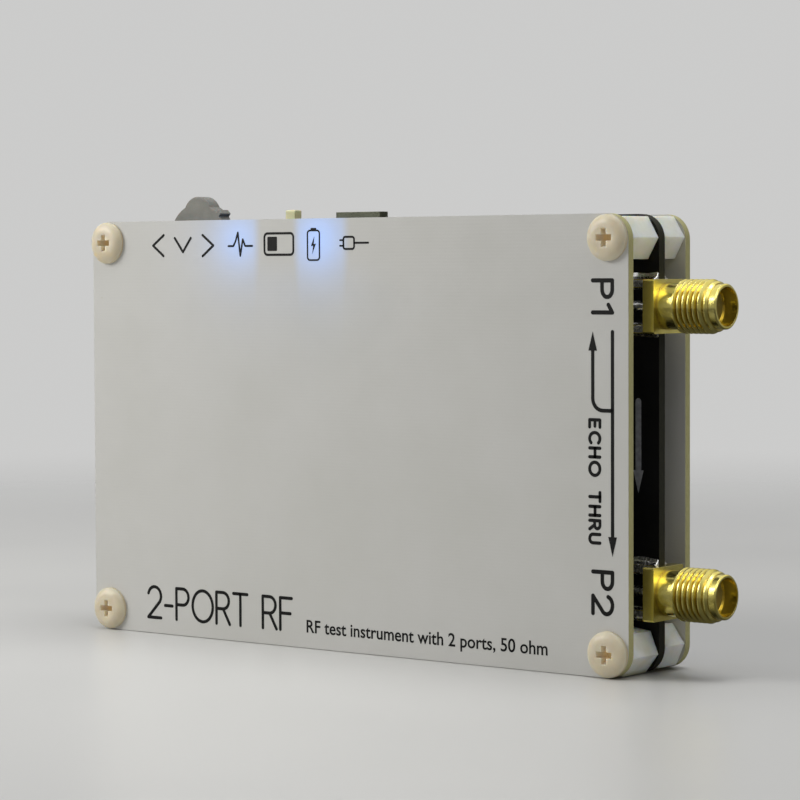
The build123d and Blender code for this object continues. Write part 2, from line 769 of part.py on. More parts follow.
pouch_front = board_back - battery_pad_t
pad_margin = 3
with BuildPart() as battery_pad:
    pad_w = battery_w - 2 * pad_margin
    pad_h = battery_h - 2 * pad_margin
    block(battery_x, board_back, battery_z, pad_w, battery_pad_t, pad_h)
battery_pad.part.label = "battery_pad"
export_step(battery_pad.part, "parts/battery_pad.step")

with BuildPart() as battery_pouch:
    block(battery_x, pouch_front, battery_z, battery_w, battery_t, battery_h)
    fillet(battery_pouch.edges().filter_by(Axis.Z), 1.4)
    fillet(battery_pouch.edges().filter_by(Axis.X), 0.7)
battery_pouch.part.label = "battery_pouch"
export_step(battery_pouch.part, "parts/battery_pouch.step")

cap_l = 3.0
cap_x = battery_x + battery_w / 2 + 0.05 + cap_l / 2
with BuildPart() as battery_cap:
    block(cap_x, pouch_front - 0.6, battery_z, cap_l, battery_t - 1.2, battery_h - 1)
    fillet(battery_cap.edges().filter_by(Axis.Z), 0.4)
battery_cap.part.label = "battery_cap"
export_step(battery_cap.part, "parts/battery_cap.step")

plug_x = 8.2
plug_z = 28.0
lead_spread = 0.7
wire_hole_r = 0.42
with BuildPart() as battery_header:
    block(plug_x, board_back, plug_z + 2.6, 5.0, 2.6, 3.6)
    block(plug_x, board_back - 0.5, plug_z + 2.2, 4.0, 2.1, 3.4, Mode.SUBTRACT)
battery_header.part.label = "battery_header"
export_step(battery_header.part, "parts/battery_header.step")

with BuildPart() as battery_plug:
    block(plug_x, board_back - 0.6, plug_z + 1.9, 3.8, 1.5, 3.2)
    for side in (-1, 1):
        with BuildSketch(Plane(origin=(plug_x + side * lead_spread, board_back - 1.35, plug_z + 0.3), z_dir=(0, 0, 1))):
            Circle(wire_hole_r)
        extrude(amount=1.2, mode=Mode.SUBTRACT)
battery_plug.part.label = "battery_plug"
export_step(battery_plug.part, "parts/battery_plug.step")

lead_r = 0.38
lead_y = board_back - 1.35
cap_end = cap_x + cap_l / 2
for lead_name, side, drop in (("battery_lead_red", 1, 7.0), ("battery_lead_black", -1, 3.5)):
    with BuildPart() as lead:
        end_x = plug_x + side * lead_spread
        start_z = plug_z - 2 - drop
        with BuildLine(Plane(origin=(0, lead_y, 0), x_dir=(1, 0, 0), z_dir=(0, -1, 0))) as run:
            Line((end_x, plug_z + 1.4), (end_x, plug_z - 0.5))
            Spline((end_x, plug_z - 0.5), (cap_end + 0.25, start_z), tangents=[(0, -1), (-1, -0.4)])
        with BuildSketch(Plane(origin=(end_x, lead_y, plug_z + 1.4), z_dir=(0, 0, -1))):
            Circle(lead_r)
        sweep(path=run.wires()[0])
    lead.part.label = lead_name
    export_step(lead.part, f"parts/{lead_name}.step")


# ---------------------------------------------------------------- display

tray_front = tray_back + tray_t
with BuildPart() as display_tape:
    for side in (-1, 1):
        block(display_x + 2, tray_back, display_z + side * 21, display_w - 10, tray_back - board_front, 4)
display_tape.part.label = "display_tape"
export_step(display_tape.part, "parts/display_tape.step")

glass_w = display_w - 2 * tray_wall
glass_h = display_h - 2 * tray_wall
guide_back = tray_back + 0.45
panel_back = guide_back + 1.25
flex_t = 0.12
flex_w = 24.0
flex_y = panel_back - 0.02
with BuildPart() as display_tray:
    with BuildSketch(depth_plane(tray_front)):
        with Locations((display_x, display_z)):
            RectangleRounded(display_w, display_h, 0.8)
    extrude(amount=tray_t)
    block(display_x, tray_front, display_z, glass_w, tray_t - 0.4, glass_h, Mode.SUBTRACT)
    block(display_x - display_w / 2, flex_y + 0.15, display_z, 3, 0.3, flex_w + 0.6, Mode.SUBTRACT)
display_tray.part.label = "display_tray"
export_step(display_tray.part, "parts/display_tray.step")

with BuildPart() as light_guide:
    block(display_x, guide_back + 1.2, display_z, glass_w - 0.1, 1.2, glass_h - 0.1)
light_guide.part.label = "light_guide"
export_step(light_guide.part, "parts/light_guide.step")

panel_t = 1.05
with BuildPart() as lcd_panel:
    block(display_x, panel_back + panel_t, display_z, glass_w - 0.1, panel_t, glass_h - 0.1)
lcd_panel.part.label = "lcd_panel"
export_step(lcd_panel.part, "parts/lcd_panel.step")

touch_t = 0.9
touch_back = tray_front + 0.05
with BuildPart() as touch_panel:
    block(display_x, touch_back + touch_t, display_z, display_w, touch_t, display_h)
    chamfer(touch_panel.edges().filter_by(Axis.Y), 0.4)
touch_panel.part.label = "touch_panel"
export_step(touch_panel.part, "parts/touch_panel.step")

with BuildPart() as display_gasket:
    gasket_t = front_inner - touch_back - touch_t
    block(display_x, front_inner, display_z, display_w - 1, gasket_t, display_h - 1)
    block(window_x, front_inner, display_z, window_w + 1.2, gasket_t, window_h + 1.2, Mode.SUBTRACT)
display_gasket.part.label = "display_gasket"
export_step(display_gasket.part, "parts/display_gasket.step")

flex_start_x = display_x - glass_w / 2 - 0.02
flex_turn_x = display_x - display_w / 2 - 0.5
flex_end_x = -27.0
flex_low_y = board_front + 0.05 + flex_t / 2
with BuildPart() as display_flex:
    with BuildLine(Plane.XY.offset(display_z)) as fold:
        Line((flex_start_x, flex_y), (flex_turn_x, flex_y))
        bend_r = (flex_y - flex_low_y) / 2
        ThreePointArc((flex_turn_x, flex_y), (flex_turn_x - bend_r, flex_y - bend_r), (flex_turn_x, flex_low_y))
        Line((flex_turn_x, flex_low_y), (flex_end_x, flex_low_y))
    with BuildSketch(Plane(origin=(flex_start_x, flex_y, display_z), x_dir=(0, 1, 0), z_dir=(-1, 0, 0))):
        Rectangle(flex_t, flex_w)
    sweep(path=fold.wires()[0])
display_flex.part.label = "display_flex"
export_step(display_flex.part, "parts/display_flex.step")
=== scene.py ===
"""Looks of the pocket two-port vector network analyser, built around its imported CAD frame.

Lengths in this script are millimetres, except the places of the camera and the lights, which are metres.
mm() turns millimetres into Blender's metres.
"""

import json
import math
import random

import bmesh
import bpy
from mathutils import Matrix, Vector


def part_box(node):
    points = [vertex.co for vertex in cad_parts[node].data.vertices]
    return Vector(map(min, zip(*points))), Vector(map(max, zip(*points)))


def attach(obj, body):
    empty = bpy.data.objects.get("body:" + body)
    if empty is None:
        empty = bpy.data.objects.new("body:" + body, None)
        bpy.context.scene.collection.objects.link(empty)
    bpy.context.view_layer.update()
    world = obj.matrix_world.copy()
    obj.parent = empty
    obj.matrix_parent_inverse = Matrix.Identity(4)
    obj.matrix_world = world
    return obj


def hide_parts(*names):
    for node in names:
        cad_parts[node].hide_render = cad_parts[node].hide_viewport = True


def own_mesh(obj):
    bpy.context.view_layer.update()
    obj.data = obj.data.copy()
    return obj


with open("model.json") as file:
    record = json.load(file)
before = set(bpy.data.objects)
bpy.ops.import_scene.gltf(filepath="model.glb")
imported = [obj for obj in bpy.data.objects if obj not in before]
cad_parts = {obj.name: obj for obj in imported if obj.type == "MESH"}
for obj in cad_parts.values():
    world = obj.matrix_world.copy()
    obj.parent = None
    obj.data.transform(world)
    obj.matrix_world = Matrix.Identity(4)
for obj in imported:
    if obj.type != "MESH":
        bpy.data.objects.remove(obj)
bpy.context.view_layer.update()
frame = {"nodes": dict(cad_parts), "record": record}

BODY = "case"


def mm(value):
    """Metres from millimetres."""
    return value / 1000


def node_box(name):
    """Lowest and highest corner of a CAD node, in millimetres."""
    low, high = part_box(name)
    return low * 1000, high * 1000


cover_low, _ = node_box("back_cover")
_, front_high = node_box("front_cover")
_, panel_high = node_box("lcd_panel")
board_low, board_high = node_box("main_board")
cover_face_y = cover_low.y
front_face_y = front_high.y
screen_face_y = panel_high.y
board_back_y = board_low.y
board_front_y = board_high.y
left_x = cover_low.x


# ---------------------------------------------------------------- shader nodes


class Shader:
    """A Principled material, with short calls for its procedural nodes. Lengths are millimetres."""

    def __init__(self, name, **surface):
        self.material = bpy.data.materials.new(name)
        self.material.use_nodes = True
        self.tree = self.material.node_tree
        self.surface = self.tree.nodes["Principled BSDF"]
        self.place = self.vector("SCALE", self.add("ShaderNodeTexCoord").outputs["Object"], scale=1000)
        for setting, value in surface.items():
            self.set(setting.replace("_", " "), value)

    def add(self, kind, **settings):
        node = self.tree.nodes.new(kind)
        for name, value in settings.items():
            setattr(node, name, value)
        return node

    def feed(self, socket, value):
        """Links value to socket when it's a socket itself, and otherwise stores it as a number or a colour."""
        if isinstance(value, bpy.types.NodeSocket):
            self.tree.links.new(value, socket)
        elif socket.type == "RGBA":
            socket.default_value = (*value, 1)
        else:
            socket.default_value = value

    def set(self, name, value):
        self.feed(self.surface.inputs[name], value)

    def vector(self, operation, a, b=None, scale=None):
        node = self.add("ShaderNodeVectorMath", operation=operation)
        self.feed(node.inputs[0], a)
        if b is not None:
            self.feed(node.inputs[1], b)
        if scale is not None:
            self.feed(node.inputs["Scale"], scale)
        return node.outputs["Value" if operation == "DOT_PRODUCT" else "Vector"]

    def math(self, operation, a, b=0.0, clamp=False):
        node = self.add("ShaderNodeMath", operation=operation, use_clamp=clamp)
        self.feed(node.inputs[0], a)
        self.feed(node.inputs[1], b)
        return node.outputs[0]

    def axes(self, vector=None):
        node = self.add("ShaderNodeSeparateXYZ")
        self.feed(node.inputs[0], vector or self.place)
        return node.outputs

    def distance_from_middle(self):
        node = self.add("ShaderNodeVectorMath", operation="LENGTH")
        self.feed(node.inputs[0], self.place)
        return node.outputs["Value"]

    def stretched(self, stretch, shift=0.0):
        moved = self.vector("ADD", self.place, (shift, 1.7 * shift, -shift))
        return self.vector("MULTIPLY", moved, stretch)

    def noise(self, size, detail=3, stretch=(1, 1, 1), shift=0.0, distortion=0.0):
        """Cloudy pattern from 0 to 1, with blobs about size across. A small stretch makes them longer that way."""
        node = self.add("ShaderNodeTexNoise")
        self.feed(node.inputs["Vector"], self.stretched(stretch, shift))
        self.feed(node.inputs["Scale"], 1 / size)
        self.feed(node.inputs["Detail"], detail)
        self.feed(node.inputs["Distortion"], distortion)
        return node.outputs[0]

    def cells(self, size, shift=0.0, feature="F1"):
        """Distance to the nearest of many scattered points, which stand about size apart."""
        node = self.add("ShaderNodeTexVoronoi", feature=feature)
        self.feed(node.inputs["Vector"], self.stretched((1, 1, 1), shift))
        self.feed(node.inputs["Scale"], 1 / size)
        return node.outputs["Distance"]

    def bands(self, pitch, direction, distortion=0.0, detail_scale=1.0):
        """Sine bands across X, Y or Z, from 0 to 1."""
        node = self.add("ShaderNodeTexWave", bands_direction=direction)
        self.feed(node.inputs["Vector"], self.vector("SCALE", self.place, scale=1 / pitch))
        self.feed(node.inputs["Scale"], math.tau / 20)
        self.feed(node.inputs["Distortion"], distortion)
        self.feed(node.inputs["Detail Scale"], detail_scale)
        return node.outputs["Fac"]

    def between(self, value, low, high, to_low=0.0, to_high=1.0, smooth=False):
        """value moved from the range low..high to to_low..to_high, and held at those ends."""
        node = self.add("ShaderNodeMapRange", interpolation_type="SMOOTHSTEP" if smooth else "LINEAR")
        for socket, number in zip(node.inputs, (value, low, high, to_low, to_high)):
            self.feed(socket, number)
        return node.outputs[0]

    def mix(self, share, a, b):
        node = self.add("ShaderNodeMix", data_type="RGBA")
        self.feed(node.inputs[0], share)
        self.feed(node.inputs[6], a)
        self.feed(node.inputs[7], b)
        return node.outputs[2]

    def facing(self, axis):
        """How squarely the surface faces along an axis, either way, from 0 to 1."""
        normal = self.axes(self.add("ShaderNodeNewGeometry").outputs["Normal"])["XYZ".index(axis)]
        return self.math("ABSOLUTE", normal)

    def bump(self, *layers, rounding=0.0):
        """Adds relief. Each layer is (height pattern, depth in millimetres)."""
        normal = None
        if rounding:
            soft = self.add("ShaderNodeBevel", samples=4)
            self.feed(soft.inputs["Radius"], mm(rounding))
            normal = soft.outputs["Normal"]
        for height, depth in layers:
            node = self.add("ShaderNodeBump")
            self.feed(node.inputs["Distance"], mm(depth))
            self.feed(node.inputs["Height"], height)
            if normal is not None:
                self.feed(node.inputs["Normal"], normal)
            normal = node.outputs[0]
        self.set("Normal", normal)

    def edge_band(self, radius):
        """1 along outer and inner edges, 0 on open faces."""
        soft = self.add("ShaderNodeBevel", samples=4)
        self.feed(soft.inputs["Radius"], mm(radius))
        flat = self.add("ShaderNodeNewGeometry").outputs["Normal"]
        alike = self.vector("DOT_PRODUCT", soft.outputs["Normal"], flat)
        return self.between(alike, 1.0, 0.85)

    def crevices(self, reach):
        """1 deep in a hollow narrower than reach, 0 in the open."""
        node = self.add("ShaderNodeAmbientOcclusion", samples=8)
        self.feed(node.inputs["Distance"], mm(reach))
        return self.between(node.outputs["AO"], 0.75, 0.2)


# ---------------------------------------------------------------- materials


def circuit_board(name, mask, mask_light, core, core_dark, glow_spots=(), specular=0.5):
    """Solder mask over fibreglass: mottled lacquer on both faces, bare layered laminate around the edge."""
    s = Shader(name, IOR=1.5)
    x, y, z = s.axes()
    cloud = s.noise(14, detail=4)
    fine = s.noise(0.8, detail=2, shift=5)
    weave = s.math("MULTIPLY", s.bands(0.46, "X", 0.6), s.bands(0.41, "Z", 0.6))
    lacquer = s.mix(s.between(cloud, 0.35, 0.65), mask, mask_light)
    lacquer = s.mix(s.math("MULTIPLY", weave, 0.025), lacquer, core)
    specks = s.between(s.cells(2.6, shift=9), 0.05, 0.035)
    rare = s.between(s.noise(5, shift=21), 0.56, 0.6)
    lacquer = s.mix(s.math("MULTIPLY", s.math("MULTIPLY", specks, rare), 0.25), lacquer, core_dark)
    layers = s.bands(0.22, "Y", 2.5, 3.0)
    frayed = s.noise(0.25, detail=3, stretch=(0.3, 3, 0.3), shift=3)
    laminate = s.mix(layers, core, core_dark)
    laminate = s.mix(s.between(frayed, 0.45, 0.7), laminate, core)
    face = s.between(s.facing("Y"), 0.55, 0.8)
    s.set("Base Color", s.mix(face, laminate, lacquer))
    gloss = s.between(s.noise(6, detail=4, shift=13), 0.3, 0.7, 0.3, 0.42)
    s.set("Roughness", s.mix(face, (0.75, 0.75, 0.75), gloss))
    s.set("Specular IOR Level", specular)
    s.bump((weave, 0.004), (fine, 0.006), (frayed, 0.01), rounding=0.08)
    if glow_spots:
        s.set("Emission Color", (0.0, 0.29, 1.0))
        s.set("Emission Strength", s.math("MULTIPLY", glow(s, x, z, glow_spots), face))
    return s.material


def glow(s, x, z, spots):
    """Light from the two small lamps behind the cover, cut off beside the switch and the USB socket."""
    total = 0.0
    for spot in spots:
        dx = s.math("DIVIDE", s.math("SUBTRACT", x, spot["x"]), spot["spread"])
        dz = s.math("DIVIDE", s.math("SUBTRACT", z, spot["z"]), spot["drop"])
        squared = s.math("ADD", s.math("MULTIPLY", dx, dx), s.math("MULTIPLY", dz, dz))
        light = s.math("DIVIDE", spot["power"], s.math("POWER", s.math("ADD", squared, 1.0), 2.0))
        for edge, side in spot["shades"]:
            open_side = s.between(x, edge - 0.9 * side, edge + 0.9 * side, smooth=True)
            below = s.between(z, 50.0, 42.0, 0.0, 0.75, smooth=True)
            light = s.math("MULTIPLY", light, s.math("MAXIMUM", open_side, below))
        total = s.math("ADD", light, total)
    return total


def nylon(name, dark, light, deep, hollows=None, shine_through=0.0):
    """Natural nylon: milky and slightly see-through, and painted in the shade colour deep in its hollows.

    hollows gives the distances from the middle plane between which the painted shade sets in. Without it, crevices
    do.
    shine_through is the light that thin nylon carries into its shaded parts.
    """
    s = Shader(name, IOR=1.53, Subsurface_Weight=0.9, Subsurface_Scale=mm(2.4))
    s.set("Subsurface Radius", (1.0, 0.75, 0.45))
    cloud = s.noise(1.8, detail=4)
    color = s.mix(s.between(cloud, 0.35, 0.65), dark, light)
    if hollows:
        level = s.math("ABSOLUTE", s.axes()[1])
        painted_shade = s.between(level, *hollows, smooth=True)
    else:
        painted_shade = s.crevices(1.0)
    # Painted shade: the colour turns to deep in the hollows, where shade falls.
    color = s.mix(painted_shade, color, deep)
    s.set("Base Color", color)
    s.set("Emission Color", color)
    s.set("Emission Strength", s.between(painted_shade, 0, 1, shine_through, 3 * shine_through))
    s.set("Roughness", s.between(s.noise(0.7, detail=4, shift=4), 0.3, 0.7, 0.32, 0.5))
    s.bump((s.noise(0.35, detail=4), 0.012), (cloud, 0.03), rounding=0.12)
    return s.material


def gold_plate():
    """Gold plating over turned brass: fine lathe marks, painted shade in the grooves, painted highlights along the
    crests.
    """
    s = Shader("gold_plate", Metallic=1.0)
    cloud = s.noise(1.6, detail=5)
    color = s.mix(s.between(cloud, 0.35, 0.65), (0.85, 0.72, 0.18), (0.91, 0.8, 0.26))
    # Painted shade: browner in hollows up to 3 mm wide, and dark brown in the narrow thread grooves.
    color = s.mix(s.math("MULTIPLY", s.crevices(3.0), 0.3), color, (0.45, 0.33, 0.08))
    color = s.mix(s.math("MULTIPLY", s.crevices(0.7), 0.85), color, (0.36, 0.18, 0.03))
    # Painted highlight: paler along edges and thread crests.
    color = s.mix(s.math("MULTIPLY", s.edge_band(0.05), 0.45), color, (0.98, 0.9, 0.5))
    s.set("Base Color", color)
    lathe = s.noise(0.1, detail=3, stretch=(3, 0.25, 0.25), shift=2)
    s.set("Roughness", s.between(s.noise(0.9, detail=5, shift=8), 0.3, 0.75, 0.15, 0.28))
    s.bump((lathe, 0.003), (s.noise(0.5, detail=3), 0.0015), rounding=0.04)
    return s.material


def sheet_metal(name, dark, light, brush=(0.2, 1, 3), roughness=(0.25, 0.45)):
    """Rolled or plated sheet, with a fine grain along one direction and duller patches."""
    s = Shader(name, Metallic=1.0)
    grain = s.noise(0.12, detail=4, stretch=brush)
    cloud = s.noise(3, detail=4, shift=7)
    color = s.mix(s.between(cloud, 0.35, 0.65), dark, light)
    # Painted shade: near black in crevices narrower than 0.6 mm.
    s.set("Base Color", s.mix(s.math("MULTIPLY", s.crevices(0.6), 0.5), color, (0.12, 0.11, 0.09)))
    s.set("Roughness", s.between(grain, 0.3, 0.7, *roughness))
    s.bump((grain, 0.004), (cloud, 0.02), rounding=0.05)
    return s.material


def moulded(name, dark, light, roughness=(0.4, 0.6), grain=0.2, relief=0.008, subsurface=0.0):
    """Moulded plastic: fine texture, slight mottling, and painted shade in the corners."""
    s = Shader(name, IOR=1.5, Subsurface_Weight=subsurface, Subsurface_Scale=mm(0.6))
    cloud = s.noise(2.5, detail=4)
    skin = s.noise(grain, detail=3, shift=3)
    color = s.mix(s.between(cloud, 0.35, 0.65), dark, light)
    # Painted shade: half as bright in corners narrower than 0.8 mm.
    corner_shade = s.math("MULTIPLY", s.crevices(0.8), 0.35)
    s.set("Base Color", s.mix(corner_shade, color, [0.5 * c for c in dark]))
    s.set("Roughness", s.between(skin, 0.3, 0.7, *roughness))
    s.bump((skin, relief), (cloud, 3 * relief), rounding=0.06)
    return s.material


def solder_metal():
    """Bright solder with a frosty skin, and amber flux in its hollows."""
    s = Shader("solder_bright", Metallic=1.0)
    frost = s.noise(0.3, detail=5)
    color = s.mix(s.between(frost, 0.4, 0.65), (0.62, 0.62, 0.6), (0.82, 0.81, 0.78))
    s.set("Base Color", s.mix(s.math("MULTIPLY", s.crevices(0.5), 0.4), color, (0.25, 0.17, 0.07)))
    s.set("Roughness", s.between(frost, 0.35, 0.7, 0.12, 0.4))
    s.bump((frost, 0.02), (s.noise(0.09, detail=3), 0.004))
    return s.material


def ink(name, color):
    """Screen-printed ink: dense, slightly uneven and duller than the lacquer under it."""
    s = Shader(name, IOR=1.45, Specular_IOR_Level=0.25)
    cloud = s.noise(0.5, detail=4)
    pores = s.between(s.noise(0.12, detail=2, shift=6), 0.62, 0.75)
    tint = s.mix(s.between(cloud, 0.35, 0.65), color, [1.4 * c for c in color])
    s.set("Base Color", s.mix(s.math("MULTIPLY", pores, 0.3), tint, [2.5 * c + 0.01 for c in color]))
    s.set("Roughness", s.between(cloud, 0.3, 0.7, 0.45, 0.65))
    s.bump((s.noise(0.15, detail=3), 0.006))
    return s.material


def lamp(name, color, strength):
    """A lit lamp body: clear resin with a brighter middle."""
    s = Shader(name, Roughness=0.2, IOR=1.5)
    cloud = s.noise(0.5, detail=3)
    s.set("Base Color", s.mix(cloud, color, (0.9, 0.93, 1.0)))
    s.set("Emission Color", color)
    s.set("Emission Strength", s.between(cloud, 0.3, 0.7, 0.7 * strength, strength))
    s.bump((cloud, 0.01))
    return s.material


def clear_glass():
    """Touch glass: clear, slightly dark, with faint finger smears in its gloss."""
    s = Shader("touch_glass", IOR=1.5, Transmission_Weight=1.0)
    smears = s.noise(7, detail=6, stretch=(1, 1, 0.5), distortion=0.6)
    s.set("Base Color", s.mix(s.between(smears, 0.4, 0.7), (0.97, 0.98, 0.98), (0.93, 0.95, 0.95)))
    s.set("Roughness", s.between(smears, 0.45, 0.75, 0.01, 0.09))
    s.bump((smears, 0.003))
    return s.material


def foil():
    """Battery laminate: dull aluminium with fine wrinkles."""
    s = Shader("battery_foil", Metallic=0.85)
    wrinkles = s.noise(3.5, detail=6, distortion=1.2)
    fine = s.noise(0.4, detail=4, shift=3)
    s.set("Base Color", s.mix(s.between(wrinkles, 0.35, 0.65), (0.52, 0.53, 0.55), (0.68, 0.69, 0.7)))
    s.set("Roughness", s.between(fine, 0.3, 0.7, 0.3, 0.5))
    s.bump((wrinkles, 0.25), (fine, 0.01))
    return s.material


def amber_film():
    """Polyimide film and tape: glossy, see-through amber over copper."""
    s = Shader("amber_film", IOR=1.6, Coat_Weight=0.6)
    tracks = s.bands(0.9, "Z")
    cloud = s.noise(3, detail=4)
    color = s.mix(s.between(cloud, 0.3, 0.7), (0.5, 0.22, 0.03), (0.6, 0.3, 0.05))
    s.set("Base Color", s.mix(s.between(tracks, 0.5, 0.6, 0.0, 0.45), color, (0.35, 0.13, 0.02)))
    s.set("Roughness", s.between(cloud, 0.3, 0.7, 0.2, 0.35))
    s.bump((tracks, 0.01), (cloud, 0.06))
    return s.material


def screen_glass():
    """The lit panel behind the drawn figures: near black, with a faint pixel grid."""
    s = Shader("screen_glass", IOR=1.5, Roughness=0.12)
    pixels = s.math("MULTIPLY", s.bands(0.18, "X"), s.bands(0.18, "Z"))
    cloud = s.noise(20, detail=3)
    s.set("Base Color", s.mix(cloud, (0.006, 0.007, 0.009), (0.012, 0.013, 0.016)))
    s.set("Emission Color", (0.08, 0.1, 0.16))
    s.set("Emission Strength", s.between(pixels, 0.0, 1.0, 0.04, 0.12))
    s.bump((pixels, 0.001))
    return s.material


def lit_line(name, color, strength=1.0):
    """A lit figure on the screen, with a slight pixel ripple."""
    s = Shader(name, Roughness=0.3)
    pixels = s.bands(0.18, "X")
    s.set("Base Color", s.mix(pixels, [0.4 * c for c in color], [0.5 * c for c in color]))
    s.set("Emission Color", color)
    s.set("Emission Strength", s.between(pixels, 0, 1, 0.85 * strength, strength))
    return s.material


def floor_paint():
    """Pale satin table top that fades into the backdrop far away."""
    s = Shader("pale_floor", IOR=1.4)
    cloud = s.noise(120, detail=4)
    paint = s.mix(s.between(cloud, 0.3, 0.7), (0.56, 0.56, 0.55), (0.6, 0.6, 0.585))
    # Painted reflection: seen in reflections the floor is near black, which darkens the lower half of the metal
    # parts.
    mirrored = s.add("ShaderNodeLightPath").outputs["Is Glossy Ray"]
    s.set("Base Color", s.mix(mirrored, paint, (0.05, 0.05, 0.045)))
    s.set("Roughness", s.between(cloud, 0.3, 0.7, 0.3, 0.36))
    s.set("Alpha", s.between(s.distance_from_middle(), 90, 420, 1.0, 0.0, smooth=True))
    s.bump((s.noise(1.5, detail=3), 0.004))
    return s.material


lamp_spots = (
    {"x": -17.0, "z": 51.5, "spread": 5.6, "drop": 5.2, "power": 0.46, "shades": ((-13.9, -1),)},
    {"x": -3.9, "z": 51.5, "spread": 6.0, "drop": 5.6, "power": 0.56, "shades": ((-7.4, 1), (0.7, -1))},
)

FR4 = dict(core=(0.5, 0.48, 0.24), core_dark=(0.36, 0.33, 0.14))
WHITE_MASK = dict(mask=(0.56, 0.558, 0.53), mask_light=(0.585, 0.582, 0.56))
materials = {
    "back_mask": circuit_board("white_mask_lit", **WHITE_MASK, **FR4, glow_spots=lamp_spots),
    "front_mask": circuit_board("white_mask", **WHITE_MASK, **FR4),
    "board_mask": circuit_board(
        "black_mask",
        mask=(0.004, 0.004, 0.004),
        mask_light=(0.008, 0.008, 0.008),
        core=(0.035, 0.035, 0.022),
        core_dark=(0.012, 0.012, 0.01),
        specular=0.2,
    ),
    # The third colour of each nylon is its painted shade: for the standoffs in their crevices, for the screws deep
    # in their cross recesses.
    "nylon": nylon("nylon_white", (0.84, 0.85, 0.74), (0.92, 0.93, 0.86), (0.55, 0.52, 0.3)),
    "screw_nylon": nylon(
        "nylon_cream",
        (0.55, 0.49, 0.37),
        (0.61, 0.55, 0.42),
        (0.55, 0.4, 0.19),
        hollows=(6.95, 6.2),
        shine_through=0.08,
    ),
    "gold": gold_plate(),
    # The white PTFE is coloured dark gold-brown as painted shade and painted gold reflection, for its place deep
    # in the shaded bore.
    "ptfe": moulded("ptfe", (0.22, 0.165, 0.035), (0.27, 0.205, 0.05), roughness=(0.95, 1.0)),
    "solder": solder_metal(),
    # The plated steel's near black colour is painted shade: it stands in for the dark surroundings in the shell's
    # reflections.
    "steel": sheet_metal("plated_steel", (0.075, 0.08, 0.055), (0.125, 0.13, 0.095)),
    "tray_steel": sheet_metal("pressed_steel", (0.4, 0.4, 0.41), (0.5, 0.5, 0.51), brush=(3, 1, 0.2)),
    "black_plastic": moulded("black_plastic", (0.012, 0.012, 0.013), (0.02, 0.02, 0.021)),
    "phenolic": moulded("phenolic", (0.19, 0.1, 0.045), (0.25, 0.14, 0.07)),
    "cream_plastic": moulded("cream_plastic", (0.72, 0.7, 0.4), (0.8, 0.78, 0.47), subsurface=0.25),
    "lever_plastic": moulded(
        "lever_plastic", (0.185, 0.182, 0.162), (0.235, 0.231, 0.206), grain=0.35, relief=0.015, subsurface=0.2
    ),
    "copper_alloy": sheet_metal("spring_alloy", (0.6, 0.42, 0.22), (0.72, 0.54, 0.32)),
    "chip_epoxy": moulded(
        "chip_epoxy", (0.018, 0.018, 0.019), (0.03, 0.03, 0.031), roughness=(0.55, 0.75), grain=0.08
    ),
    "capacitor_ceramic": moulded("capacitor_ceramic", (0.3, 0.2, 0.11), (0.38, 0.27, 0.15)),
    "ferrite": moulded("ferrite", (0.05, 0.05, 0.052), (0.08, 0.08, 0.08), roughness=(0.5, 0.8), grain=0.15),
    "led_lens": lamp("lamp_resin", (0.35, 0.55, 1.0), 6.0),
    "foil": foil(),
    "kapton": amber_film(),
    "foam_tape": moulded(
        "foam_tape", (0.018, 0.018, 0.018), (0.03, 0.03, 0.03), roughness=(0.8, 0.95), relief=0.03
    ),
    "white_plastic": moulded("white_plastic", (0.7, 0.69, 0.63), (0.78, 0.77, 0.72), subsurface=0.2),
    "red_wire": moulded("red_wire", (0.42, 0.02, 0.015), (0.52, 0.03, 0.02), roughness=(0.3, 0.45)),
    "black_wire": moulded("black_wire", (0.012, 0.012, 0.012), (0.02, 0.02, 0.02), roughness=(0.3, 0.45)),
    "acrylic": moulded("acrylic", (0.75, 0.78, 0.8), (0.82, 0.85, 0.86), roughness=(0.1, 0.2), relief=0.003),
    "display_glass": screen_glass(),
    "touch_glass": clear_glass(),
}
legend_ink = ink("black_ink", (0.004, 0.004, 0.0035))
silk_ink = ink("silkscreen_grey", (0.22, 0.225, 0.24))

slot_of = {entry["node"]: entry["material_slot"] for entry in frame["record"]["subparts"]}
slot_of.update(back_cover="back_mask", front_cover="front_mask")
slot_of.update(back_screws="screw_nylon", front_screws="screw_nylon")
for name, piece in frame["nodes"].items():
    piece.data.materials.clear()
    piece.data.materials.append(materials[slot_of[name]])


# ---------------------------------------------------------------- mesh helpers


def new_piece(name, mesh_builder, material, smooth=False):
    """Links a new mesh object, gives it its material and lets it ride on the case."""
    mesh = bpy.data.meshes.new(name)
    bmesh.ops.recalc_face_normals(mesh_builder, faces=mesh_builder.faces)
    mesh_builder.to_mesh(mesh)
    mesh_builder.free()
    mesh.materials.append(material)
    if smooth:
        for face in mesh.polygons:
            face.use_smooth = True
    piece = bpy.data.objects.new(name, mesh)
    bpy.context.scene.collection.objects.link(piece)
    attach(piece, BODY)
    return piece


class Sheet:
    """A flat drawing place on the object, with its own right, up and outward directions."""

    def __init__(self, origin, right, up):
        self.origin = Vector(origin)
        self.right = Vector(right)
        self.up = Vector(up)
        self.out = self.right.cross(self.up)

    def at(self, u, v, height=0.0):
        """The point u to the right, v up and height above the sheet, in metres."""
        return (self.origin + self.right * u + self.up * v + self.out * height) / 1000

    def turned(self, u, v):
        """A sheet at (u, v) that is turned a quarter clockwise."""
        return Sheet(self.origin + self.right * u + self.up * v, -self.up, self.right)

    def matrix(self, u, v):
        """The transform that lays a drawing's own X and Y on the sheet, with its origin at (u, v)."""
        rotation = Matrix((self.right, self.up, self.out)).transposed().to_4x4()
        return Matrix.Translation(self.at(u, v)) @ rotation


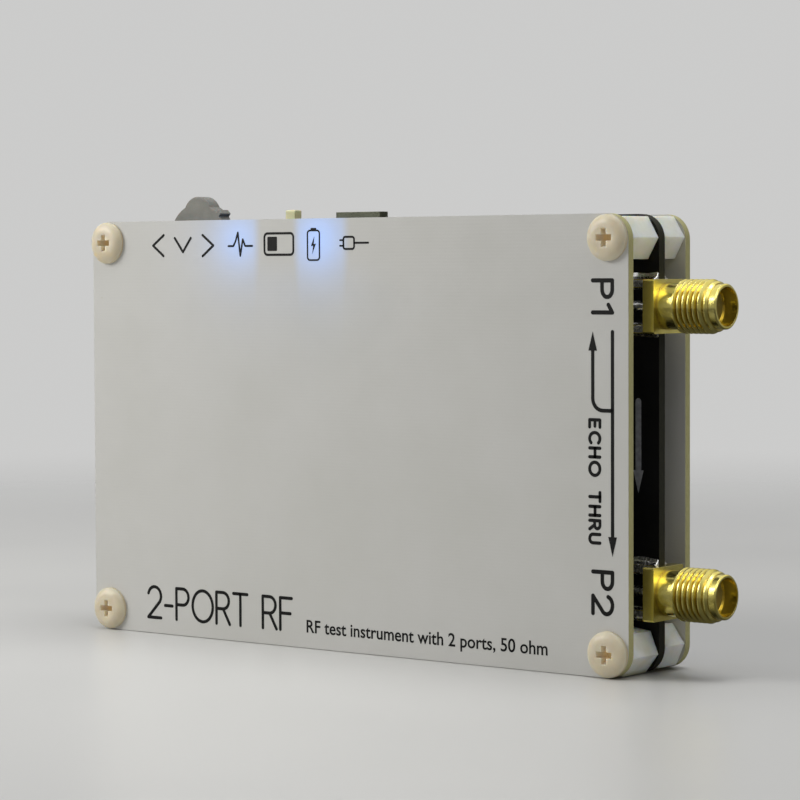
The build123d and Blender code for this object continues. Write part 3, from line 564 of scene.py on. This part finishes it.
INK_TOP = 0.018
FILL_TOP = 0.026
INK_ROOT = -0.02
RUN_STEP = 0.0015
SHARP_CORNER = 40


def fill(builder, sheet, outline):
    """Raises a filled outline a hair above the sheet."""
    lower = [builder.verts.new(sheet.at(u, v, INK_ROOT)) for u, v in outline]
    upper = [builder.verts.new(sheet.at(u, v, FILL_TOP)) for u, v in outline]
    builder.faces.new(upper)
    builder.faces.new(lower[::-1])
    for i in range(len(outline)):
        j = (i + 1) % len(outline)
        builder.faces.new((lower[i], lower[j], upper[j], upper[i]))


def split_at_corners(points):
    """Runs of points between the sharp corners."""
    runs = [[points[0]]]
    for before, point, after in zip(points, points[1:], points[2:]):
        runs[-1].append(point)
        if (point - before).angle(after - point) > math.radians(SHARP_CORNER):
            runs.append([point])
    runs[-1].append(points[-1])
    return runs


def stroke(builder, sheet, points, width, closed=False):
    """Draws a line of the given width along points. It's split into round-ended runs at sharp corners.

    Neighbouring runs have slightly different heights, so that no two faces coincide where they overlap.
    """
    points = [Vector(p) for p in points]
    points = [p for i, p in enumerate(points) if i == 0 or (p - points[i - 1]).length > 1e-4]
    if closed:
        draw_run(builder, sheet, points, width, True, INK_TOP)
        return
    for index, run in enumerate(split_at_corners(points)):
        draw_run(builder, sheet, run, width, False, INK_TOP + RUN_STEP * (index % 4))


def round_end(section, half, direction):
    """Narrowing sections that round off one end of a line. direction is -1 at its start and 1 at its end."""
    point, side, _, along = section
    angles = [math.radians(degrees) for degrees in (80, 50, 25)]
    return [(point + along * direction * half * math.sin(a), side, half * math.cos(a), along) for a in angles]


def draw_run(builder, sheet, points, width, closed, top):
    """Raises one smooth line along points, closed or with round ends."""
    count = len(points)
    half = width / 2
    sections = []
    for i, point in enumerate(points):
        before = points[i - 1] if closed or i > 0 else None
        after = points[(i + 1) % count] if closed or i < count - 1 else None
        come = (point - before).normalized() if before is not None else (after - point).normalized()
        go = (after - point).normalized() if after is not None else come
        along = (come + go).normalized()
        side = Vector((-along.y, along.x))
        miter = half / max(0.5, abs(side.dot(Vector((-come.y, come.x)))))
        sections.append((point, side, miter, along))
    if not closed:
        sections = round_end(sections[0], half, -1) + sections + round_end(sections[-1], half, 1)[::-1]
    rings = []
    for point, side, reach, _ in sections:
        left = point + side * reach
        right = point - side * reach
        corners = ((left, top), (right, top), (right, INK_ROOT), (left, INK_ROOT))
        rings.append([builder.verts.new(sheet.at(p.x, p.y, h)) for p, h in corners])
    pairs = list(zip(rings, rings[1:])) + ([(rings[-1], rings[0])] if closed else [])
    for a, b in pairs:
        for i in range(4):
            j = (i + 1) % 4
            builder.faces.new((a[i], a[j], b[j], b[i]))
    if not closed:
        builder.faces.new(rings[0])
        builder.faces.new(rings[-1][::-1])


def arc(cx, cy, radius, start, stop, steps=12, squash=1.0):
    """Points along an arc, in degrees anticlockwise from the right."""
    angles = [math.radians(start + (stop - start) * i / steps) for i in range(steps + 1)]
    return [(cx + radius * math.cos(a), cy + squash * radius * math.sin(a)) for a in angles]


def rounded_box(cx, cy, width, height, radius):
    """Outline of a box with round corners."""
    inset_x = width / 2 - radius
    inset_y = height / 2 - radius
    outline = []
    for sx, sy, start in ((1, 1, 0), (-1, 1, 90), (-1, -1, 180), (1, -1, 270)):
        outline += arc(cx + sx * inset_x, cy + sy * inset_y, radius, start, start + 90, 5)
    return outline


# ---------------------------------------------------------------- printed legends

back_sheet = Sheet((left_x, cover_face_y, 0), (1, 0, 0), (0, 0, 1))
LINE = 0.33


def monoline_glyphs():
    """Thin drawn capitals one unit high: each is (width, list of strokes)."""
    bowl = [(0, 1), (0.3, 1)] + arc(0.3, 0.74, 0.26, 90, -90) + [(0, 0.48)]
    two = arc(0.3, 0.7, 0.3, 165, -35) + [(0.0, 0.0), (0.6, 0.0)]
    return {
        "2": (0.6, [two]),
        "-": (0.38, [[(0.02, 0.42), (0.36, 0.42)]]),
        "P": (0.58, [[(0, 0)] + bowl]),
        "R": (0.6, [[(0, 0)] + bowl, [(0.3, 0.48), (0.6, 0)]]),
        "O": (0.92, [arc(0.46, 0.5, 0.46, 90, 450, 32, squash=1.08)]),
        "T": (0.62, [[(0, 1), (0.62, 1)], [(0.31, 1), (0.31, 0)]]),
        "F": (0.52, [[(0.5, 1), (0, 1), (0, 0)], [(0, 0.52), (0.44, 0.52)]]),
        "1": (0.3, [[(0.0, 0.8), (0.26, 1), (0.26, 0)]]),
        "C": (0.72, [arc(0.42, 0.5, 0.42, 45, 315, 20, squash=1.19)]),
        "E": (0.52, [[(0.5, 1), (0, 1), (0, 0), (0.5, 0)], [(0, 0.52), (0.44, 0.52)]]),
        "H": (0.62, [[(0, 1), (0, 0)], [(0.62, 1), (0.62, 0)], [(0, 0.52), (0.62, 0.52)]]),
        "U": (0.6, [[(0, 1), (0, 0.3)] + arc(0.3, 0.3, 0.3, 180, 360) + [(0.6, 1)]]),
        " ": (0.35, []),
    }


GLYPHS = monoline_glyphs()


def write(builder, sheet, text, u, v, height, width, gap=0.2, stretch=1.0):
    """Draws text in thin capitals from (u, v). height is that of a capital, width that of its line."""
    for letter in text:
        span, strokes = GLYPHS[letter]
        for points in strokes:
            closed = len(points) > 20 and (Vector(points[0]) - Vector(points[-1])).length < 0.01
            if closed:
                points = points[:-1]
            placed = [(u + x * stretch * height, v + y * height) for x, y in points]
            stroke(builder, sheet, placed, width, closed)
        u += (span * stretch + gap) * height


def legend(name, draw, material=legend_ink):
    """One printed legend as its own piece."""
    builder = bmesh.new()
    draw(builder)
    return new_piece(name, builder, material)


def draw_menu_marks(b):
    """Left, press and right chevrons beside the jog lever."""
    stroke(b, back_sheet, [(12.75, 52.15), (10.85, 50.8), (12.7, 49.45)], LINE)
    stroke(b, back_sheet, [(14.7, 51.75), (16.12, 49.95), (17.5, 51.75)], LINE)
    stroke(b, back_sheet, [(19.55, 52.1), (21.4, 50.75), (19.55, 49.4)], LINE)


def draw_pulse_mark(b):
    """A heartbeat line for the status lamp."""
    points = [(24.0, 50.65), (24.85, 50.65), (25.2, 51.2), (25.62, 52.35), (26.02, 49.4), (26.45, 51.5)]
    stroke(b, back_sheet, points + [(26.85, 50.65), (28.05, 50.65)], 0.26)


def draw_switch_mark(b):
    """A slide switch with its knob at the left."""
    stroke(b, back_sheet, rounded_box(32.5, 50.85, 4.8, 2.7, 0.5), 0.3, closed=True)
    fill(b, back_sheet, rounded_box(31.4, 50.88, 1.6, 1.8, 0.15))


def draw_battery_mark(b):
    """A battery outline with a spark in it."""
    stroke(b, back_sheet, rounded_box(38.2, 50.65, 1.95, 3.7, 0.4), 0.22, closed=True)
    fill(b, back_sheet, rounded_box(38.2, 52.68, 0.9, 0.28, 0.1))
    spark = [(38.35, 51.75), (37.8, 50.55), (38.15, 50.6), (38.02, 49.6), (38.6, 50.85), (38.24, 50.8)]
    fill(b, back_sheet, spark)


def draw_plug_mark(b):
    """A plain cable plug for the USB socket."""
    stroke(b, back_sheet, rounded_box(43.9, 50.9, 1.7, 1.5, 0.3), 0.26, closed=True)
    stroke(b, back_sheet, [(44.75, 50.9), (47.0, 50.9)], 0.26)
    for v in (50.55, 51.25):
        stroke(b, back_sheet, [(42.5, v), (43.05, v)], 0.22)


def draw_arrow_head(b, sheet, tip, base, half_width):
    """A slim filled arrow head from tip back to base."""
    tip, base = Vector(tip), Vector(base)
    side = Vector((-(tip - base).y, (tip - base).x)).normalized() * half_width
    fill(b, sheet, [tip, base + side, base - side])


def draw_signal_path(b):
    """The through arrow from one port to the other, and the reflected arrow beside it."""
    stroke(b, back_sheet, [(83.27, 40.3), (83.27, 16.0)], 0.46)
    draw_arrow_head(b, back_sheet, (83.27, 14.2), (83.27, 16.5), 0.6)
    bend = arc(81.9, 32.55, 1.4, 180, 270, 8)
    stroke(b, back_sheet, [(80.5, 38.8)] + bend + [(83.1, 31.15)], 0.46)
    draw_arrow_head(b, back_sheet, (80.5, 40.3), (80.5, 38.1), 0.6)


def draw_port_marks(b):
    """Port numbers, read from the right."""
    for text, start_v in (("P1", 46.25), ("P2", 12.35)):
        write(b, back_sheet.turned(80.5, start_v), text, 0, 0, 2.75, 0.5, gap=0.3, stretch=1.25)


def draw_path_names(b):
    """Names of the reflected and the through path."""
    for text, start_v in (("ECHO", 30.05), ("THRU", 21.6)):
        write(b, back_sheet.turned(80.05, start_v), text, 0, 0, 1.45, 0.4, gap=0.42, stretch=1.15)


def draw_title(b):
    """The large generic title."""
    write(b, back_sheet, "2-PORT RF", 9.5, 2.05, 4.05, 0.42, gap=0.16, stretch=0.94)


def draw_board_arrow(b):
    """The signal arrow on the main board between the ports."""
    sheet = Sheet((0, board_back_y, 0), (1, 0, 0), (0, 0, 1))
    stroke(b, sheet, [(39.83, 32.0), (39.83, 23.4)], 0.8)
    draw_arrow_head(b, sheet, (39.83, 21.2), (39.83, 23.9), 0.72)


legend("legend_menu", draw_menu_marks)
legend("legend_status", draw_pulse_mark)
legend("legend_power", draw_switch_mark)
legend("legend_battery", draw_battery_mark)
legend("legend_plug", draw_plug_mark)
legend("legend_signal_path", draw_signal_path)
legend("legend_ports", draw_port_marks)
legend("legend_paths", draw_path_names)
legend("legend_title", draw_title)
legend("board_arrow", draw_board_arrow, silk_ink)


THICKENING = 0.03


def typeset(name, text, sheet, u, v, height, material):
    """A line of small print in the built-in typeface, as a mesh."""
    curve = bpy.data.curves.new(name, "FONT")
    curve.body = text
    curve.size = mm(height)
    curve.extrude = mm(INK_TOP)
    curve.offset = mm(THICKENING)
    curve.resolution_u = 4
    source = bpy.data.objects.new(name + "_source", curve)
    bpy.context.scene.collection.objects.link(source)
    bpy.context.view_layer.update()
    mesh = bpy.data.meshes.new_from_object(source)
    bpy.data.objects.remove(source)
    mesh.transform(sheet.matrix(u, v))
    mesh.materials.append(material)
    piece = bpy.data.objects.new(name, mesh)
    bpy.context.scene.collection.objects.link(piece)
    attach(piece, BODY)
    return piece


typeset("legend_subtitle", "RF test instrument with 2 ports, 50 ohm", back_sheet, 36.6, 2.0, 2.28, legend_ink)


# ---------------------------------------------------------------- solder on the port legs


BEAD_STEPS = 14
BEAD_ROOT = -0.02
LEG_OFFSET = 2.675
LEG_BEAD_START = 38.55
PIN_BEAD_START = 38.3
LEG_BEAD_RISE = 1.07
INNER_REACH = 0.78
UPPER_REACH = 1.32
LOWER_REACH = 0.95
PIN_SECTION = (
    (-0.62, BEAD_ROOT), (-0.45, 0.3), (-0.26, 0.62), (0, 0.7), (0.26, 0.62), (0.45, 0.3), (0.62, BEAD_ROOT)
)


def solder_bead(builder, rng, x_start, z_mid, face_y, outward, profile):
    """A frozen bead of solder along X, up to the port's flange.

    profile is a list of (distance across, height over the board) from one foot to the other.
    """
    x_end = board_high.x - 0.02
    rings = []
    for i in range(BEAD_STEPS + 1):
        share = i / BEAD_STEPS
        swell = min(1.0, 0.12 + 1.6 * math.sqrt(share))
        waist = 1 + 0.08 * math.sin(5 * share + z_mid)
        x = x_start + (x_end - x_start) * share
        ring = []
        for across, height in profile:
            wobble = 1 + rng.uniform(-0.04, 0.04)
            y = face_y + outward * height * swell * wobble
            z = z_mid + across * (0.75 + 0.25 * swell) * waist
            ring.append(builder.verts.new(Vector((x, y, z)) / 1000))
        rings.append(ring)
    for a, b in zip(rings, rings[1:]):
        for i in range(len(profile) - 1):
            builder.faces.new((a[i], a[i + 1], b[i + 1], b[i]))
    builder.faces.new(rings[0])
    builder.faces.new(rings[-1][::-1])


def leg_section(side):
    """Section of a bead over one square leg. side is 1 for the upper leg of a port and -1 for the lower."""
    outer = UPPER_REACH if side == 1 else LOWER_REACH
    outline = (
        (-INNER_REACH, BEAD_ROOT),
        (-0.8 * INNER_REACH, 0.12 * LEG_BEAD_RISE),
        (-0.62, 0.5 * LEG_BEAD_RISE),
        (-0.54, 0.86 * LEG_BEAD_RISE),
        (-0.4, LEG_BEAD_RISE),
        (0.4, LEG_BEAD_RISE),
        (0.54, 0.86 * LEG_BEAD_RISE),
        (0.66, 0.5 * LEG_BEAD_RISE),
        (0.62 * outer, 0.25 * LEG_BEAD_RISE),
        (outer, BEAD_ROOT),
    )
    return [(side * across, height) for across, height in outline]


def add_port_solder():
    """Beads over the four legs and the centre contact of each port, on the two faces of the main board."""
    rng = random.Random(7)
    builder = bmesh.new()
    for port in ("port_1_shell", "port_2_shell"):
        low, high = node_box(port)
        axis_z = (low.z + high.z) / 2
        for face_y, outward in ((board_back_y, -1), (board_front_y, 1)):
            for side in (-1, 1):
                z_leg = axis_z + side * LEG_OFFSET
                solder_bead(builder, rng, LEG_BEAD_START, z_leg, face_y, outward, leg_section(side))
        solder_bead(builder, rng, PIN_BEAD_START, axis_z, board_back_y, -1, PIN_SECTION)
    piece = new_piece("port_solder_beads", builder, materials["solder"], smooth=True)
    soften = piece.modifiers.new("soften", "SUBSURF")
    soften.levels = soften.render_levels = 2
    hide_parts("port_solder")


add_port_solder()


# ---------------------------------------------------------------- click spring


def add_click_leaf():
    """The click spring as its own copy of the CAD leaf, which stays rigid when the lever is pressed."""
    leaf = bpy.data.objects.new("jog_click_leaf", frame["nodes"]["jog_click_spring"].data.copy())
    bpy.context.scene.collection.objects.link(leaf)
    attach(leaf, BODY)
    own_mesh(leaf)
    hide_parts("jog_click_spring")


add_click_leaf()


# ---------------------------------------------------------------- lit screen

screen_sheet = Sheet((1.2, screen_face_y, 27.0), (-1, 0, 0), (0, 0, 1))
PLOT_LEFT, PLOT_RIGHT = -24.0, 27.0
PLOT_LOW, PLOT_HIGH = -17.5, 18.0


def grid_lines(b):
    """Ten by eight divisions with a frame."""
    for column in range(11):
        u = PLOT_LEFT + (PLOT_RIGHT - PLOT_LEFT) * column / 10
        stroke(b, screen_sheet, [(u, PLOT_LOW), (u, PLOT_HIGH)], 0.1)
    for row in range(9):
        v = PLOT_LOW + (PLOT_HIGH - PLOT_LOW) * row / 8
        stroke(b, screen_sheet, [(PLOT_LEFT, v), (PLOT_RIGHT, v)], 0.1)


def chart_circles(b):
    """A reflection chart: its rim, three inner circles and its middle line."""
    cu, cv, radius = 1.5, 0.25, 16.8
    stroke(b, screen_sheet, arc(cu, cv, radius, 0, 360, 72)[:-1], 0.12, closed=True)
    for share in (0.25, 0.5, 0.75):
        inner = radius * share
        stroke(b, screen_sheet, arc(cu + radius - inner, cv, inner, 0, 360, 60)[:-1], 0.1, closed=True)
    stroke(b, screen_sheet, [(cu - radius, cv), (cu + radius, cv)], 0.1)


def response(u):
    """Height of the through trace: a pass band with steep sides and a little ripple."""
    at = (u - PLOT_LEFT) / (PLOT_RIGHT - PLOT_LEFT)
    band = 1 / (1 + ((at - 0.55) / 0.16) ** 6)
    return -13.5 + 26 * band + 0.5 * math.sin(60 * at) * (1 - band) + 0.35 * math.sin(40 * at) * band


def reflection(u):
    """Height of the reflection trace: it dips in the pass band."""
    at = (u - PLOT_LEFT) / (PLOT_RIGHT - PLOT_LEFT)
    band = 1 / (1 + ((at - 0.55) / 0.17) ** 6)
    return 12.5 - 18 * band + 3.0 * band * math.sin(38 * at) + 0.25 * math.sin(70 * at)


def trace(height):
    """Draws one measured curve."""
    steps = 160

    def draw(b):
        us = [PLOT_LEFT + (PLOT_RIGHT - PLOT_LEFT) * i / steps for i in range(steps + 1)]
        stroke(b, screen_sheet, [(u, height(u)) for u in us], 0.26)

    return draw


def marker(b):
    """A marker triangle on the through trace."""
    u = 5.5
    v = response(u) + 0.3
    fill(b, screen_sheet, [(u, v), (u + 0.9, v + 1.6), (u - 0.9, v + 1.6)])


legend("screen_grid", grid_lines, lit_line("lit_grey", (0.16, 0.17, 0.19)))
legend("screen_chart", chart_circles, lit_line("lit_dim", (0.1, 0.13, 0.12)))
legend("screen_trace_through", trace(response), lit_line("lit_cyan", (0.05, 0.75, 0.9), 1.3))
legend("screen_trace_reflect", trace(reflection), lit_line("lit_yellow", (0.95, 0.8, 0.08), 1.3))
legend("screen_marker", marker, lit_line("lit_white", (0.9, 0.9, 0.9), 1.2))
screen_text = lit_line("lit_text", (0.8, 0.82, 0.84))
for label_name, text, u, v in (
    ("screen_text_a", "REFLECT  10 dB / DIV", -24.0, 19.0),
    ("screen_text_b", "THROUGH  10 dB / DIV", 4.5, 19.0),
    ("screen_text_c", "START  50 kHz", -24.0, -20.4),
    ("screen_text_d", "STOP  0.9 GHz", 11.8, -20.4),
):
    typeset(label_name, text, screen_sheet, u, v, 2.1, screen_text)


# ---------------------------------------------------------------- front cover print

front_sheet = Sheet((0, front_face_y, 0), (-1, 0, 0), (0, 0, 1))


def draw_front_ports(b):
    """Port numbers on the display side."""
    for text, v in (("P1", 42.2), ("P2", 8.7)):
        write(b, front_sheet, text, -41.4, v, 2.0, 0.34, gap=0.3)


def draw_front_controls(b):
    """Marks over the jog lever, the slide switch and the socket."""
    for centre, half in ((26.9, 0.9), (10.7, 0.6), (0.5, 0.6)):
        stroke(b, front_sheet, [(centre - half, 52.1), (centre, 53.0), (centre + half, 52.1)], 0.3)


legend("legend_front_ports", draw_front_ports)
legend("legend_front_controls", draw_front_controls)


# ---------------------------------------------------------------- battery pouch seams


SEAM_STEPS = 40
SEAM_INSET = 0.8
SEAM_RISE = 0.9
# Section of a seam as (distance out from the pouch, distance along Y).
SEAM_FOLD = ((0.0, 0.0), (0.28, 0.04), (0.42, 0.35), (0.36, 1.9), (0.2, 2.0), (0.16, 0.4), (0.0, 0.2))


def add_pouch_seams():
    """The folded foil seams along both long sides of the pouch."""
    low, high = node_box("battery_pouch")
    rng = random.Random(11)
    builder = bmesh.new()
    count = len(SEAM_FOLD)
    for side, edge_z in ((-1, low.z), (1, high.z)):
        rings = []
        for i in range(SEAM_STEPS + 1):
            x = low.x + SEAM_INSET + (high.x - low.x - 2 * SEAM_INSET) * i / SEAM_STEPS
            wave = 0.06 * math.sin(0.9 * i + side) + rng.uniform(-0.03, 0.03)
            ring = []
            for out, along in SEAM_FOLD:
                reach = out - 0.05 + (wave if out > 0.1 else 0)
                point = Vector((x, low.y + SEAM_RISE + along, edge_z + side * reach))
                ring.append(builder.verts.new(point / 1000))
            rings.append(ring)
        for a, b in zip(rings, rings[1:]):
            for k in range(count):
                m = (k + 1) % count
                builder.faces.new((a[k], a[m], b[m], b[k]))
        builder.faces.new(rings[0])
        builder.faces.new(rings[-1][::-1])
    return new_piece("battery_seams", builder, materials["foil"], smooth=True)


add_pouch_seams()


# ---------------------------------------------------------------- floor, lights and camera

CAMERA_PLACE = (0.233965, -0.290056, 0.047841)
CAMERA_TURN = 38.41
CAMERA_DROP = 2.562
CAMERA_ROLL = -0.228
LENS = 133.3


def add_camera():
    """The camera looks along the back cover's face, from its right and a little above."""
    turn, drop, roll = (math.radians(a) for a in (CAMERA_TURN, CAMERA_DROP, CAMERA_ROLL))
    forward = Vector((-math.sin(turn) * math.cos(drop), math.cos(turn) * math.cos(drop), -math.sin(drop)))
    level = forward.cross(Vector((0, 0, 1))).normalized()
    upright = level.cross(forward)
    right = level * math.cos(roll) + upright * math.sin(roll)
    up = upright * math.cos(roll) - level * math.sin(roll)
    camera = bpy.data.objects.new("camera", bpy.data.cameras.new("camera"))
    camera.data.lens = LENS
    camera.data.sensor_width = 36
    camera.data.clip_start = 0.01
    rotation = Matrix((right, up, -forward)).transposed().to_4x4()
    camera.matrix_world = Matrix.Translation(CAMERA_PLACE) @ rotation
    bpy.context.scene.collection.objects.link(camera)
    bpy.context.scene.camera = camera


def add_softbox(name, place, target, size, power, tint=(1, 1, 1)):
    """A square soft light at place that shines at target."""
    light = bpy.data.lights.new(name, "AREA")
    light.size = size
    light.energy = power
    light.color = tint
    lamp_object = bpy.data.objects.new(name, light)
    lamp_object.visible_camera = False
    aim = (Vector(target) - Vector(place)).to_track_quat("-Z", "Y")
    lamp_object.matrix_world = Matrix.Translation(place) @ aim.to_matrix().to_4x4()
    bpy.context.scene.collection.objects.link(lamp_object)


def add_floor():
    """A wide pale disc under the object."""
    builder = bmesh.new()
    bmesh.ops.create_circle(builder, cap_ends=True, segments=96, radius=3.0)
    mesh = bpy.data.meshes.new("floor")
    builder.to_mesh(mesh)
    builder.free()
    mesh.materials.append(floor_paint())
    floor = bpy.data.objects.new("floor", mesh)
    floor.location.z = mm(-0.05)
    bpy.context.scene.collection.objects.link(floor)


def add_backdrop():
    """Pale surroundings. In reflections they run from dark below to bright above, which gives metal contrast."""
    world = bpy.data.worlds.new("studio")
    bpy.context.scene.world = world
    world.use_nodes = True
    tree = world.node_tree
    rays = tree.nodes.new("ShaderNodeLightPath").outputs
    direction = tree.nodes.new("ShaderNodeTexCoord")
    height = tree.nodes.new("ShaderNodeSeparateXYZ")
    lifted = tree.nodes.new("ShaderNodeMath")
    lifted.inputs[1].default_value = 1.0
    halved = tree.nodes.new("ShaderNodeMath")
    halved.operation = "MULTIPLY"
    halved.inputs[1].default_value = 0.5
    sky = tree.nodes.new("ShaderNodeValToRGB")
    stops = sky.color_ramp.elements
    stops[0].position, stops[0].color = 0.4, (0.01, 0.01, 0.01, 1)
    stops[1].position, stops[1].color = 0.47, (0.3, 0.3, 0.3, 1)
    for position, level in ((0.66, 0.28), (0.78, 0.85), (1.0, 0.85)):
        stops.new(position).color = (level, level, level, 1)
    reflected = tree.nodes.new("ShaderNodeMix")
    seen = tree.nodes.new("ShaderNodeMix")
    reflected.data_type = seen.data_type = "RGBA"
    soft_light = (0.17, 0.17, 0.17, 1)
    backdrop = (0.6, 0.6, 0.595, 1)
    reflected.inputs[6].default_value = soft_light
    seen.inputs[7].default_value = backdrop
    links = (
        (direction.outputs["Generated"], height.inputs[0]),
        (height.outputs["Z"], lifted.inputs[0]),
        (lifted.outputs[0], halved.inputs[0]),
        (halved.outputs[0], sky.inputs[0]),
        (rays["Is Glossy Ray"], reflected.inputs[0]),
        (sky.outputs[0], reflected.inputs[7]),
        (rays["Is Camera Ray"], seen.inputs[0]),
        (reflected.outputs[2], seen.inputs[6]),
        (seen.outputs[2], tree.nodes["Background"].inputs["Color"]),
    )
    for start, end in links:
        tree.links.new(start, end)


middle = (0.005, 0, 0.03)
add_camera()
add_floor()
add_backdrop()
add_softbox("key", (-0.22, -0.2, 0.18), (-0.03, 0, 0.03), 0.16, 0.72, (1.0, 0.985, 0.96))
add_softbox("fill", (0.5, -0.2, 0.55), middle, 0.35, 0.55, (0.97, 0.985, 1.0))
add_softbox("overhead", (0.05, 0.05, 0.7), middle, 0.45, 2.9)
bpy.context.scene.view_settings.view_transform = "Standard"
